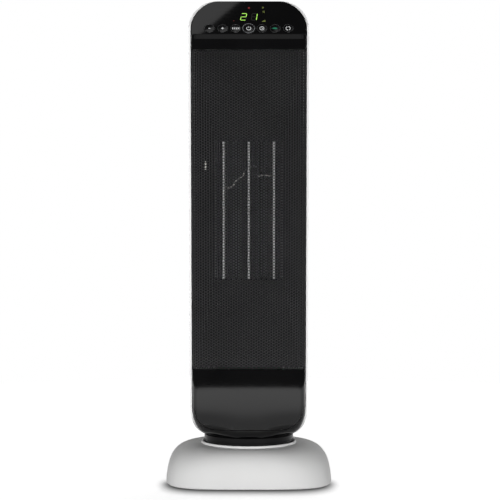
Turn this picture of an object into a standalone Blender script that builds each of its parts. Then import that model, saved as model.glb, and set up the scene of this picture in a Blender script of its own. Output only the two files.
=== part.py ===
"""Ceramic tower fan heater on a swivel base.

Metres, +Z up, front towards -Y. The origin is on the floor, on the swivel axis.
"""

import math

import bmesh
import bpy
from mathutils import Matrix

# Overall sizes, in metres
TOTAL_HEIGHT = 0.640
BASE_WIDTH = 0.2206
BASE_HEIGHT = 0.0524
NECK_HEIGHT = 0.0102
SHELL_WIDTH = 0.1584
FRONT_DEPTH = 0.065
REAR_DEPTH = 0.065

# Clearances and overruns
FIT = 0.0003
RUNNING_GAP = 0.0008
OVERRUN = 0.010
MERGE_DISTANCE = 0.000005

# Tower outline
SHELL_TAPER = 0.0012
TOP_CORNER_RADIUS = 0.037
TOP_REAR_RADIUS = 0.025
TOWER_FOOT_RADIUS = 0.061
FOOT_JOINT_TURN = math.radians(-8)
FOOT_BLEND_HEIGHT = 0.0524
FOOT_BLEND_POWER = 3.6
FOOT_STEP_SHARES = (0.0, 0.06, 0.16, 0.32, 0.56, 1.0)
REAR_CORNER_SHARE = 0.55
JOINT_SETBACK = 0.017
SHELL_WALL = 0.0025

# Black front
FRONT_INSET = 0.0037
FRONT_EDGE_RADIUS = 0.009
FRAME_WALL = 0.0022
SKIN_SETBACK = 0.0105
PANEL_RISE = 0.0436
PANEL_TILT = math.radians(39)
PANEL_THICKNESS = 0.0025
LEDGE_DEPTH = 0.003
LEDGE_HEIGHT = 0.0066
BAND_HEIGHT = 0.0136
CHIN_HEIGHT = 0.0111
COVER_HEIGHT = 0.0817
COVER_WALL = 0.002
COVER_CORNER_RADIUS = 0.028
COVER_CORNER_INSET = 0.003
COVER_FLARE_SHARES = (0.55, 0.40)

# Front grille
GRILLE_WALL = 0.0016
DISH_SLOPE = 0.25
WINDOW_WIDTH = 0.091
WINDOW_HEIGHT = 0.183
WINDOW_DROP = 0.0012
CREASE_SHARES = ((0.0, 1.0), (0.105, 0.90), (0.28, 0.69), (0.714, 0.69), (0.968, 0.98), (1.0, 1.0))
CREASE_LIMIT_SHARE = 0.97
GRILLE_HOLE_COLUMNS = 7
GRILLE_HOLE_ROWS = 12
GRILLE_HOLE_SHARE = 0.80
HALF_CELL_SHARE = 0.5
GRILLE_HOLE_MARGIN = 0.006
SPARSE_STEP = 2

# Control panel, distances along the slope
BUTTON_UP = 0.0095
BUTTON_PITCH = 0.0172
BUTTON_RADIUS = 0.0068
POWER_RADIUS = 0.0084
BUTTON_CAP = 0.0034
BUTTON_PROUD = 0.0004
BUTTON_TRAVEL = 0.0008
BUTTON_STEM_RADIUS = 0.002
BOARD_DEPTH = 0.0095
BOARD_THICKNESS = 0.0016
BOARD_WIDTH = 0.118
BOARD_LOW = 0.003
BOARD_HIGH = 0.046
SWITCH_RADIUS = 0.0026
BOARD_POST_RADIUS = 0.0025
DISPLAY_WIDTH = 0.044
DISPLAY_LOW = 0.023
DISPLAY_HIGH = 0.043
BUTTON_NAMES = ("minus", "plus", "mode", "power", "timer", "eco", "swing")

# Heating element
BAFFLE_WALL = 0.0015
HEATER_FRAME_WALL = 0.0035
HEATER_DEPTH = 0.019
TUBE_PITCH = 0.0328
TUBE_WIDTH = 0.004
FIN_REACH = 0.0092
FIN_PLATE = 0.0007
FIN_THICKNESS = 0.0009
FIN_DEPTH = 0.014
FIN_COUNT = 16
FUSE_RADIUS = 0.0009
FUSE_ROUTE_SHARES = (
    (-0.34, 0.67), (-0.29, 0.66), (-0.14, 0.735), (-0.09, 0.745), (-0.06, 0.78),
    (0.0, 0.815), (0.12, 0.815), (0.145, 0.745), (0.22, 0.755), (0.30, 0.75), (0.40, 0.745),
)
SENSOR_RADIUS = 0.0013
SENSOR_LENGTH = 0.011
SENSOR_X = -0.0571
SENSOR_BELOW_WINDOW_TOP = 0.032

# Blower
FAN_Y = 0.012
FAN_RADIUS = 0.031
FAN_BLADES = 14
FAN_BLADE_DEPTH = 0.0065
FAN_BLADE_WALL = 0.0012
FAN_BLADE_SWEEP = math.radians(14)
FAN_BLADE_SHARES = ((0.0, 0.0), (0.5, 0.7), (1.0, 1.0))
FAN_DISC = 0.002
FAN_END_GAP = 0.0025
SHAFT_RADIUS = 0.003
BLOWER_PLATE = 0.0025
BLOWER_PLATE_REAR = 0.047
BLOWER_WALL = 0.002
DUCT_HALF_WIDTH = 0.0465
SCROLL_START = math.radians(195)
SCROLL_END = math.radians(100)
SCROLL_WIDE = 0.0465
SCROLL_NARROW = 0.0350
TONGUE_RADIUS = 0.0350
TONGUE_ANGLE = math.radians(-28)
TONGUE_REAR = 0.010
MOTOR_RADIUS = 0.027
MOTOR_HEIGHT = 0.052
MOTOR_BORE_DEPTH = 0.015
BEARING_RADIUS = 0.008
BEARING_FLANGE = 0.012
BEARING_HEIGHT = 0.006

# Rear of the tower
FILTER_WIDTH = 0.088
FILTER_HEIGHT = 0.198
FILTER_THICKNESS = 0.0035
FILTER_SINK = 0.001
FILTER_BAR = 0.004
FILTER_COLUMNS = 3
FILTER_ROWS = 8
HANDLE_WIDTH = 0.092
HANDLE_HEIGHT = 0.030
HANDLE_DEPTH = 0.028
HANDLE_WALL = 0.002
HANDLE_BELOW_TOP = 0.064
SCREW_X = 0.029
SCREW_HEAD_RADIUS = 0.0041
SCREW_HEAD_HEIGHT = 0.003
SCREW_SINK = 0.0005
SCREW_SHANK_RADIUS = 0.0019
SCREW_LENGTH = 0.011
SCREW_LOW = 0.073
SCREW_HIGH = 0.110

# Power board
POWER_BOARD_WIDTH = 0.090
POWER_BOARD_LOW = 0.046
POWER_BOARD_UNDER_MOTOR = 0.0179
POWER_BOARD_Y = 0.044
POWER_POST_X = 0.018
POWER_POST_MARGIN = 0.010
POWER_PART_DEPTH = 0.016
POWER_PART_SHARES = (
    (-0.8, -0.3, 0.15, 0.55, 1.0), (-0.1, 0.35, 0.45, 0.85, 0.8), (0.45, 0.8, 0.1, 0.4, 0.7),
)

# Base
SHELL_LIFT = 0.001
BASE_WALL = 0.0024
BASE_PLAN_POWER = 4.0
BASE_CURVE_SHARES = ((1.0, 0.0), (0.997, 0.57), (0.888, 0.99))
BASE_STEP_SHARES = (0.0, 0.22, 0.4, 0.55, 0.7, 0.85, 1.0)
LIP_OUTER = 0.066
LIP_INNER = 0.0606
LIP_RISE = 0.0017
BASE_PLATE = 0.0025
FOOT_RADIUS = 0.009
FOOT_PAD = 0.0015
FOOT_STEM_RADIUS = 0.0035
FOOT_INSET = 0.0363
BALLAST_INSET = 0.0263
BALLAST_HOLE = 0.046
BALLAST_THICKNESS = 0.004
GLAND_RADIUS = 0.0065
GLAND_BORE = 0.0038
GLAND_FLANGE = 0.009
GLAND_HEIGHT = 0.016
GLAND_LENGTH = 0.007
TIP_SWITCH_INSET = 0.0153
TIP_SWITCH_WIDTH = 0.020
TIP_SWITCH_DEPTH = 0.012
TIP_SWITCH_HEIGHT = 0.018
PLUNGER_RADIUS = 0.003
PLUNGER_LENGTH = 0.014

# Swivel and its drive
SEAT_FLOOR = 0.003
SEAT_FLOOR_HEIGHT = 0.0403
SEAT_COLUMN_RADIUS = 0.035
SEAT_FLANGE_RADIUS = 0.044
SLIP_RING_THICKNESS = 0.0012
COLLAR_RADIUS = 0.0598
COLLAR_WALL = 0.0025
SPIGOT_RADIUS = 0.0234
SPIGOT_WALL = 0.0029
SPIGOT_DROP = 0.0065
RETAINING_REACH = 0.0055
RETAINING_THICKNESS = 0.0024
GEAR_MODULE = 0.0015
FIXED_TEETH = 40
PINION_TEETH = 14
GEAR_FACE = 0.006
GEAR_BACKLASH = 0.00024
ADDENDUM_SHARE = 0.8
DEDENDUM_SHARE = 1.05
PRESSURE_ANGLE = math.radians(20)
PINION_SHAFT_RADIUS = 0.0025
PINION_SHAFT_REACH = 0.012
SWING_MOTOR_RADIUS = 0.017
SWING_MOTOR_HEIGHT = 0.015

# Facet counts
RING_POINTS = 36
ROUND_STEPS = 30
SMALL_STEPS = 16
TINY_STEPS = 10
CORNER_STEPS = 5
EDGE_STEPS = 3

# Heights that follow from the sizes above
TOWER_BOTTOM = BASE_HEIGHT + NECK_HEIGHT
CORNER_START = TOTAL_HEIGHT - TOP_CORNER_RADIUS
PANEL_BOTTOM = TOTAL_HEIGHT - PANEL_RISE
LEDGE_BOTTOM = PANEL_BOTTOM - LEDGE_HEIGHT
GRILLE_TOP = LEDGE_BOTTOM - BAND_HEIGHT
COVER_BOTTOM = TOWER_BOTTOM + CHIN_HEIGHT
GRILLE_BOTTOM = COVER_BOTTOM + COVER_HEIGHT
WINDOW_BOTTOM = (GRILLE_BOTTOM + GRILLE_TOP - WINDOW_HEIGHT) / 2 - WINDOW_DROP
WINDOW_TOP = WINDOW_BOTTOM + WINDOW_HEIGHT
JOINT_Y = JOINT_SETBACK - FRONT_DEPTH
SKIN_Y = SKIN_SETBACK - FRONT_DEPTH
FRAME_TOP_Y = LEDGE_DEPTH - FRONT_DEPTH
PANEL_LENGTH = PANEL_RISE / math.cos(PANEL_TILT)
BAFFLE_Y = SKIN_Y + FIT + BAFFLE_WALL
HEATER_FRONT = BAFFLE_Y + FIT
HEATER_REAR = HEATER_FRONT + HEATER_DEPTH
HEATER_BOTTOM = WINDOW_BOTTOM - HEATER_FRAME_WALL
HEATER_TOP = WINDOW_TOP + HEATER_FRAME_WALL
FAN_FLOOR = HEATER_BOTTOM - FIT
FAN_CEILING = HEATER_TOP + FIT
MOTOR_TOP = FAN_FLOOR - BLOWER_PLATE - FIT
MOTOR_FLOOR = MOTOR_TOP - MOTOR_HEIGHT
POWER_BOARD_BOTTOM = TOWER_BOTTOM + POWER_BOARD_LOW
POWER_BOARD_TOP = MOTOR_FLOOR - POWER_BOARD_UNDER_MOTOR
SEAT_TOP = SEAT_FLOOR_HEIGHT + SEAT_FLOOR
COLLAR_BOTTOM = SEAT_TOP + SLIP_RING_THICKNESS + 2 * FIT
COLLAR_TOP = TOWER_BOTTOM - FIT
BASE_PLATE_BOTTOM = FOOT_PAD + FIT
BASE_PLATE_TOP = BASE_PLATE_BOTTOM + BASE_PLATE
FOOT_PLACE = BASE_WIDTH / 2 - FOOT_INSET
BALLAST_WIDTH = BASE_WIDTH - 2 * BALLAST_INSET
TIP_SWITCH_Y = TIP_SWITCH_INSET - BASE_WIDTH / 2
PINION_Y = GEAR_MODULE * (FIXED_TEETH + PINION_TEETH) / 2
FINISH_TABLE = {
    "white_plastic": ((0.82, 0.82, 0.81), 0.35, 0.0),
    "gloss_black": ((0.012, 0.012, 0.013), 0.10, 0.0),
    "satin_black": ((0.020, 0.020, 0.021), 0.42, 0.0),
    "button_grey": ((0.05, 0.05, 0.055), 0.30, 0.0),
    "button_chrome": ((0.55, 0.56, 0.58), 0.18, 1.0),
    "rubber": ((0.03, 0.03, 0.03), 0.80, 0.0),
    "steel": ((0.56, 0.57, 0.58), 0.35, 1.0),
    "cast_iron": ((0.10, 0.10, 0.11), 0.60, 1.0),
    "aluminium": ((0.77, 0.78, 0.79), 0.30, 1.0),
    "natural_nylon": ((0.78, 0.77, 0.70), 0.45, 0.0),
    "circuit_green": ((0.03, 0.20, 0.09), 0.40, 0.0),
    "ceramic_white": ((0.85, 0.84, 0.80), 0.55, 0.0),
    "display_glass": ((0.03, 0.03, 0.02), 0.08, 0.0),
}


def add_collection(name):
    collection = bpy.data.collections.new(name)
    bpy.context.scene.collection.children.link(collection)
    return collection


for old_object in list(bpy.data.objects):
    bpy.data.objects.remove(old_object)
PARTS = add_collection("ceramic_fan_heater")
CUTTERS = add_collection("cutters")


# Helpers: objects, modifiers and finishes
def add_empty(name, location, tilt=0.0):
    empty = bpy.data.objects.new(name, None)
    empty.location = location
    empty.rotation_euler.x = tilt
    PARTS.objects.link(empty)
    return empty


def add_object(name, data):
    part = bpy.data.objects.new(name, data)
    PARTS.objects.link(part)
    return part


def material(finish):
    found = bpy.data.materials.get(finish)
    if found:
        return found
    colour, roughness, metallic = FINISH_TABLE[finish]
    made = bpy.data.materials.new(finish)
    made.use_nodes = True
    shader = made.node_tree.nodes["Principled BSDF"]
    shader.inputs["Base Color"].default_value = (*colour, 1.0)
    shader.inputs["Roughness"].default_value = roughness
    shader.inputs["Metallic"].default_value = metallic
    made.diffuse_color = (*colour, 1.0)
    return made


def finish_part(part, carrier, finish):
    """Give a part its own copy of a finish and the empty that carries it."""
    own = material(finish).copy()
    own.name = part.name
    part.data.materials.clear()
    part.data.materials.append(own)
    part.parent = carrier
    return part


def add_boolean(part, tool, operation):
    """Cut, join or keep with a tool, which moves to the cutters' collection."""
    modifier = part.modifiers.new(tool.name, "BOOLEAN")
    modifier.operation = operation
    modifier.solver = "EXACT"
    modifier.object = tool
    if tool.name in PARTS.objects:
        PARTS.objects.unlink(tool)
        CUTTERS.objects.link(tool)
    tool.hide_render = True
    tool.display_type = "WIRE"
    return part


def cut(part, tool):
    return add_boolean(part, tool, "DIFFERENCE")


def join(part, tool):
    return add_boolean(part, tool, "UNION")


def add_wall(part, wall):
    """Thicken an open surface inwards."""
    modifier = part.modifiers.new("wall", "SOLIDIFY")
    modifier.thickness = wall
    modifier.offset = -1.0
    modifier.use_even_offset = True
    return part


def soften(part, width):
    modifier = part.modifiers.new("soft_edges", "BEVEL")
    modifier.width = width
    modifier.segments = 2
    modifier.limit_method = "ANGLE"
    return part


# Helpers: shapes
def box(name, low, high):
    mesh = bpy.data.meshes.new(name)
    shape = bmesh.new()
    size = [end - start for start, end in zip(low, high)]
    middle = [(end + start) / 2 for start, end in zip(low, high)]
    matrix = Matrix.Translation(middle) @ Matrix.Diagonal((*size, 1.0))
    bmesh.ops.create_cube(shape, size=1.0, matrix=matrix)
    shape.to_mesh(mesh)
    shape.free()
    return add_object(name, mesh)


def turned(name, profile, steps):
    """Turn (radius, height) points about Z. They run down the outer side, top to bottom."""
    count = len(profile)
    edges = [(index, index + 1) for index in range(count - 1)]
    if profile[0][0] > 0.0:
        edges.append((count - 1, 0))
    mesh = bpy.data.meshes.new(name)
    mesh.from_pydata([(radius, 0.0, height) for radius, height in profile], edges, [])
    part = add_object(name, mesh)
    screw = part.modifiers.new("turn", "SCREW")
    screw.steps = steps
    screw.render_steps = steps
    screw.use_merge_vertices = True
    screw.merge_threshold = MERGE_DISTANCE
    screw.use_smooth_shade = True
    return part


def disc(name, radius, low, high, steps=SMALL_STEPS):
    return turned(name, [(0.0, high), (radius, high), (radius, low), (0.0, low)], steps)


def ring(name, inner, outer, low, high, steps=SMALL_STEPS):
    profile = [(inner, high), (outer, high), (outer, low), (inner, low)]
    return turned(name, profile, steps)


def across(part, place):
    """Lay a part that was turned about Z along Y, its top towards +Y."""
    part.rotation_euler.x = -math.pi / 2
    part.location = place
    return part


def plate(name, outlines, low, high, facing="Z"):
    """Flat outlines made solid from low to high along Z, or along Y for outlines in X and Z."""
    curve = bpy.data.curves.new(name, "CURVE")
    curve.dimensions = "2D"
    curve.fill_mode = "BOTH"
    curve.extrude = (high - low) / 2
    for outline in outlines:
        spline = curve.splines.new("POLY")
        spline.points.add(len(outline) - 1)
        for point, (across_x, across_y) in zip(spline.points, outline):
            point.co = (across_x, across_y, 0.0, 1.0)
        spline.use_cyclic_u = True
    part = add_object(name, curve)
    if facing == "Z":
        part.location.z = (high + low) / 2
    else:
        part.location.y = (high + low) / 2
        part.rotation_euler.x = math.pi / 2
    return as_mesh(part)


def as_mesh(curve_part):
    """Swap a curve object for the welded mesh that it makes, in the same place."""
    bpy.context.view_layer.update()
    evaluated = curve_part.evaluated_get(bpy.context.evaluated_depsgraph_get())
    mesh = bpy.data.meshes.new_from_object(evaluated)
    shape = bmesh.new()
    shape.from_mesh(mesh)
    bmesh.ops.remove_doubles(shape, verts=shape.verts, dist=MERGE_DISTANCE)
    shape.to_mesh(mesh)
    shape.free()
    name = curve_part.name
    place = curve_part.matrix_world.copy()
    bpy.data.objects.remove(curve_part)
    part = add_object(name, mesh)
    part.matrix_world = place
    return part


def surface(name, rows, closed, floor=False, roof=False):
    """Loft rows of points from the bottom up. Open rows may have a flat floor or roof."""
    count = len(rows[0])
    points = [point for row in rows for point in row]
    faces = []
    for level in range(len(rows) - 1):
        low = level * count
        high = low + count
        for index in range(count if closed else count - 1):
            following = (index + 1) % count
            if closed:
                faces.append((low + index, low + following, high + following, high + index))
            else:
                faces.append((low + index, high + index, high + following, low + following))
    last = (len(rows) - 1) * count
    middle = count // 2
    strips = [(near, near + 1, count - 2 - near, count - 1 - near) for near in range(middle - 3)]
    strips.append(tuple(range(middle - 3, middle + 3)))
    for strip in strips:
        if floor:
            faces.append(strip)
        if roof:
            faces.append(tuple(last + corner for corner in reversed(strip)))
    mesh = bpy.data.meshes.new(name)
    mesh.from_pydata(points, [], faces)
    mesh.shade_smooth()
    mesh.set_sharp_from_angle(angle=math.radians(35))
    return add_object(name, mesh)


def spaced(start, end, steps):
    return [start + (end - start) * index / steps for index in range(steps + 1)]


def arc(centre, radii, start, end, steps):
    return [
        (centre[0] + radii[0] * math.cos(angle), centre[1] + radii[1] * math.sin(angle))
        for angle in spaced(start, end, steps)
    ]


def band(centreline, thickness):
    """Outline of a wall of even thickness along a line of points."""
    left = []
    right = []
    for index, (x, y) in enumerate(centreline):
        before = centreline[max(index - 1, 0)]
        after = centreline[min(index + 1, len(centreline) - 1)]
        run = math.hypot(after[0] - before[0], after[1] - before[1])
        side_x = (before[1] - after[1]) / run * thickness / 2
        side_y = (after[0] - before[0]) / run * thickness / 2
        left.append((x + side_x, y + side_y))
        right.append((x - side_x, y - side_y))
    return left + right[::-1]


def rounded_square(half, power, height, count=RING_POINTS):
    """A ring between a circle, at power 2, and a square with round corners."""
    points = []
    for index in range(count):
        angle = math.tau * index / count
        cosine = math.cos(angle)
        sine = math.sin(angle)
        x = half * math.copysign(abs(cosine) ** (2.0 / power), cosine)
        y = half * math.copysign(abs(sine) ** (2.0 / power), sine)
        points.append((x, y, height))
    return points


def gear_outline(teeth, turn):
    """Involute teeth, with one tooth's middle at the angle turn."""
    pitch = GEAR_MODULE * teeth / 2
    base = pitch * math.cos(PRESSURE_ANGLE)
    root = pitch - DEDENDUM_SHARE * GEAR_MODULE
    tip = pitch + ADDENDUM_SHARE * GEAR_MODULE
    pitch_half = (math.pi * GEAR_MODULE - GEAR_BACKLASH) / 4 / pitch

    def involute(radius):
        angle = math.acos(base / max(radius, base))
        return math.tan(angle) - angle

    def half_angle(radius):
        return pitch_half + involute(pitch) - involute(radius)

    points = []
    radii = [root, tip]
    for tooth in range(teeth):
        middle = turn + math.tau * tooth / teeth
        for radius in radii:
            angle = middle - half_angle(radius)
            points.append((radius * math.cos(angle), radius * math.sin(angle)))
        for radius in reversed(radii):
            angle = middle + half_angle(radius)
            points.append((radius * math.cos(angle), radius * math.sin(angle)))
    return points


# The tower's outline in plan, from its round foot to its top
def foot_blend(height):
    share = min(1.0, max(0.0, (height - TOWER_BOTTOM) / FOOT_BLEND_HEIGHT))
    return 1.0 - (1.0 - share) ** FOOT_BLEND_POWER


def half_width(height, inset):
    below = CORNER_START - min(height, CORNER_START)
    taper = SHELL_TAPER * below / (CORNER_START - TOWER_BOTTOM)
    rise = max(0.0, height - CORNER_START)
    corner = TOP_CORNER_RADIUS - math.sqrt(max(0.0, TOP_CORNER_RADIUS**2 - rise**2))
    return SHELL_WIDTH / 2 - taper - corner - inset


def rear_depth(height, inset):
    rise = max(0.0, height - TOTAL_HEIGHT + TOP_REAR_RADIUS)
    corner = TOP_REAR_RADIUS - math.sqrt(max(0.0, TOP_REAR_RADIUS**2 - rise**2))
    return REAR_DEPTH - corner - inset


def blend_to_foot(points, height, inset, wide):
    """Draw a plan outline in towards the round foot, where the shells' joint lies further back."""
    share = foot_blend(height)
    radius = TOWER_FOOT_RADIUS - inset
    joint = math.atan2(JOINT_Y, wide)
    blended = []
    for x, y in points:
        turn = math.atan2(y, abs(x))
        pivot = math.copysign(math.pi / 2, turn - joint)
        turn = pivot + (turn - pivot) * (FOOT_JOINT_TURN - pivot) / (joint - pivot)
        foot_x = math.copysign(radius * math.cos(turn), x)
        foot_y = radius * math.sin(turn)
        blended.append((foot_x + (x - foot_x) * share, foot_y + (y - foot_y) * share, height))
    return blended


def mirrored(right):
    return [(-x, y) for x, y in reversed(right)]


def rear_section(height, inset=0.0):
    """Plan outline behind the joint, from the left edge round the rear to the right edge."""
    wide = half_width(height, inset)
    deep = rear_depth(height, inset)
    corner_x = wide * REAR_CORNER_SHARE
    corner_y = deep * REAR_CORNER_SHARE
    side = [(wide, y) for y in spaced(JOINT_Y, deep - corner_y, EDGE_STEPS)[:-1]]
    centre = (wide - corner_x, deep - corner_y)
    corner = arc(centre, (corner_x, corner_y), 0.0, math.pi / 2, CORNER_STEPS)
    right = side + corner + [((wide - corner_x) / 3, deep)]
    return blend_to_foot(mirrored(right[::-1]) + right[::-1], height, inset, wide)


def front_section(height, edge_y, front_y):
    """Plan outline in front of the joint, from the right edge round the front to the left edge."""
    wide = half_width(height, FRONT_INSET)
    radius = FRONT_EDGE_RADIUS
    centre = (wide - radius, front_y + radius)
    corner = arc(centre, (radius, radius), 0.0, -math.pi / 2, EDGE_STEPS)
    flat = [(x, front_y) for x in spaced(wide - radius, 0.0, 4)[1:-1]]
    right = [(wide, edge_y), *corner, *flat]
    return blend_to_foot(right + mirrored(right), height, FRONT_INSET - SHELL_WALL, wide)


def foot_heights():
    return [TOWER_BOTTOM + share * FOOT_BLEND_HEIGHT for share in FOOT_STEP_SHARES]


def corner_heights():
    turns = spaced(0.0, math.pi / 2, CORNER_STEPS)
    return [CORNER_START + TOP_CORNER_RADIUS * math.sin(turn) for turn in turns]


def cover_outline(grow):
    """The lower cover's edge seen from the front, open to the sides above its corners."""
    wide = half_width(TOWER_BOTTOM + FOOT_BLEND_HEIGHT, FRONT_INSET)
    corner_x = wide - COVER_CORNER_INSET
    radius = COVER_CORNER_RADIUS
    centre = (corner_x - radius, COVER_BOTTOM + radius)
    corner = arc(centre, (radius + grow, radius + grow), 0.0, -math.pi / 2, CORNER_STEPS + 1)
    side_share, flare_share = COVER_FLARE_SHARES
    flare = (corner_x + radius * side_share, COVER_BOTTOM + radius * (1.0 + flare_share) + grow)
    right = [(flare[0], GRILLE_TOP + grow), flare, *corner]
    return right + mirrored(right)


def slope_tool(name, carrier):
    """Removes all that the sloped panel's place needs."""
    side = SHELL_WIDTH
    tool = box(name, (-side, -FIT, -PANEL_THICKNESS - FIT), (side, side, side))
    tool.parent = carrier
    return tool


# Base
def base_curve():
    """Half-width and height points up the base's flank to its lip."""
    top = BASE_HEIGHT - LIP_RISE
    reach = BASE_WIDTH / 2
    stations = [
        (share_x * reach, SHELL_LIFT + share_z * (top - SHELL_LIFT))
        for share_x, share_z in BASE_CURVE_SHARES
    ]
    stations.append((LIP_OUTER, top))
    points = []
    for share in BASE_STEP_SHARES:
        rest = 1.0 - share
        weights = (rest**3, 3 * rest**2 * share, 3 * rest * share**2, share**3)
        half = sum(weight * station[0] for weight, station in zip(weights, stations))
        height = sum(weight * station[1] for weight, station in zip(weights, stations))
        power = 2.0 + (BASE_PLAN_POWER - 2.0) * rest
        points.append((half, power, height))
    return points


def build_base_shell(carrier):
    rows = [rounded_square(half, power, height) for half, power, height in base_curve()]
    lip_width = LIP_OUTER - LIP_INNER
    rows.append(rounded_square(LIP_OUTER - lip_width / 4, 2.0, BASE_HEIGHT - LIP_RISE / 3))
    rows.append(rounded_square(LIP_OUTER - lip_width / 2, 2.0, BASE_HEIGHT))
    rows.append(rounded_square(LIP_INNER, 2.0, BASE_HEIGHT))
    shell = add_wall(surface("base_shell", rows, closed=True), BASE_WALL)
    hole = disc("gland_hole", GLAND_RADIUS + FIT, -OVERRUN, OVERRUN)
    cut(shell, across(hole, (0.0, BASE_WIDTH / 2, GLAND_HEIGHT)))
    finish_part(shell, carrier, "white_plastic")


def build_base_floor(carrier):
    half = BASE_WIDTH / 2 - BASE_WALL - RUNNING_GAP
    outline = [(x, y) for x, y, _ in rounded_square(half, BASE_PLAN_POWER, 0.0)]
    floor = plate("base_plate", [outline], BASE_PLATE_BOTTOM, BASE_PLATE_TOP)
    for number, (side_x, side_y) in enumerate(((1, -1), (-1, -1), (-1, 1), (1, 1)), 1):
        place = (side_x * FOOT_PLACE, side_y * FOOT_PLACE, 0.0)
        hole = disc(f"foot_hole_{number}", FOOT_STEM_RADIUS + FIT, 0.0, OVERRUN, TINY_STEPS)
        hole.location = place
        cut(floor, hole)
        profile = [
            (0.0, BASE_PLATE_TOP), (FOOT_STEM_RADIUS, BASE_PLATE_TOP),
            (FOOT_STEM_RADIUS, FOOT_PAD), (FOOT_RADIUS, FOOT_PAD),
            (FOOT_RADIUS, 0.0), (0.0, 0.0),
        ]
        foot = turned(f"foot_{number}", profile, SMALL_STEPS)
        foot.location = place
        finish_part(foot, carrier, "rubber")
    hole = disc("plunger_hole", PLUNGER_RADIUS + RUNNING_GAP, 0.0, OVERRUN, TINY_STEPS)
    hole.location.y = TIP_SWITCH_Y
    cut(floor, hole)
    finish_part(floor, carrier, "satin_black")

    rest = BASE_PLATE_TOP + FIT
    outline = [(x, y) for x, y, _ in rounded_square(BALLAST_WIDTH / 2, BASE_PLAN_POWER, 0.0)]
    hole = arc((0.0, 0.0), (BALLAST_HOLE, BALLAST_HOLE), 0.0, math.tau, ROUND_STEPS)[:-1]
    ballast = plate("ballast_plate", [outline, hole], rest, rest + BALLAST_THICKNESS)
    finish_part(ballast, carrier, "cast_iron")


def flank_at(height):
    """Half-width of the base at a height on its flank."""
    curve = [(half, level) for half, _, level in base_curve()]
    for (lower, low), (upper, high) in zip(curve, curve[1:]):
        if low <= height <= high:
            return lower + (upper - lower) * (height - low) / (high - low)
    return curve[-1][0]


def build_gland(carrier):
    outer = flank_at(GLAND_HEIGHT + GLAND_RADIUS)
    seat = flank_at(GLAND_HEIGHT + GLAND_FLANGE) - BASE_WALL - RUNNING_GAP
    profile = [
        (GLAND_BORE, outer), (GLAND_RADIUS, outer), (GLAND_RADIUS, seat),
        (GLAND_FLANGE, seat), (GLAND_FLANGE, outer - GLAND_LENGTH), (GLAND_BORE, outer - GLAND_LENGTH),
    ]
    gland = turned("cord_gland", profile, SMALL_STEPS)
    finish_part(across(gland, (0.0, 0.0, GLAND_HEIGHT)), carrier, "rubber")


def build_tip_switch(carrier):
    low = (-TIP_SWITCH_WIDTH / 2, TIP_SWITCH_Y - TIP_SWITCH_DEPTH / 2, BASE_PLATE_TOP + FIT)
    high = (TIP_SWITCH_WIDTH / 2, TIP_SWITCH_Y + TIP_SWITCH_DEPTH / 2, low[2] + TIP_SWITCH_HEIGHT)
    body = box("tip_switch_body", low, high)
    bore = disc("plunger_bore", PLUNGER_RADIUS + FIT, 0.0, FIT + PLUNGER_LENGTH + RUNNING_GAP, TINY_STEPS)
    bore.location.y = TIP_SWITCH_Y
    cut(body, bore)
    finish_part(body, carrier, "satin_black")

    plunger = disc("tip_switch_plunger", PLUNGER_RADIUS, 0.0, PLUNGER_LENGTH, TINY_STEPS)
    plunger.location = (0.0, TIP_SWITCH_Y, FIT)
    finish_part(plunger, carrier, "natural_nylon")


# Swivel seat, ring and gears
def build_seat(carrier):
    throat = SPIGOT_RADIUS + RUNNING_GAP
    column = SEAT_COLUMN_RADIUS
    floor = SEAT_FLOOR_HEIGHT
    rim = LIP_INNER + SEAT_FLOOR
    rim_top = BASE_HEIGHT - LIP_RISE - BASE_WALL - FIT
    foot = BASE_PLATE_TOP + FIT
    profile = [
        (throat, SEAT_TOP), (LIP_INNER, SEAT_TOP), (LIP_INNER, rim_top),
        (rim, rim_top), (rim, floor), (column, floor),
        (column, foot + SEAT_FLOOR), (SEAT_FLANGE_RADIUS, foot + SEAT_FLOOR),
        (SEAT_FLANGE_RADIUS, foot), (column - SEAT_FLOOR, foot),
        (column - SEAT_FLOOR, floor), (throat, floor),
    ]
    finish_part(turned("swivel_seat", profile, ROUND_STEPS), carrier, "satin_black")

    low = SEAT_TOP + FIT
    inner = COLLAR_RADIUS - COLLAR_WALL - 2 * RUNNING_GAP
    slip = ring("slip_ring", inner, COLLAR_RADIUS - FIT, low, low + SLIP_RING_THICKNESS, ROUND_STEPS)
    finish_part(slip, carrier, "natural_nylon")

    gap_turn = math.pi / 2 + math.pi / FIXED_TEETH
    hole = arc((0.0, 0.0), (throat, throat), 0.0, math.tau, ROUND_STEPS)[:-1]
    gear = plate("fixed_gear", [gear_outline(FIXED_TEETH, gap_turn), hole], low, low + GEAR_FACE)
    finish_part(gear, carrier, "natural_nylon")


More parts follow.
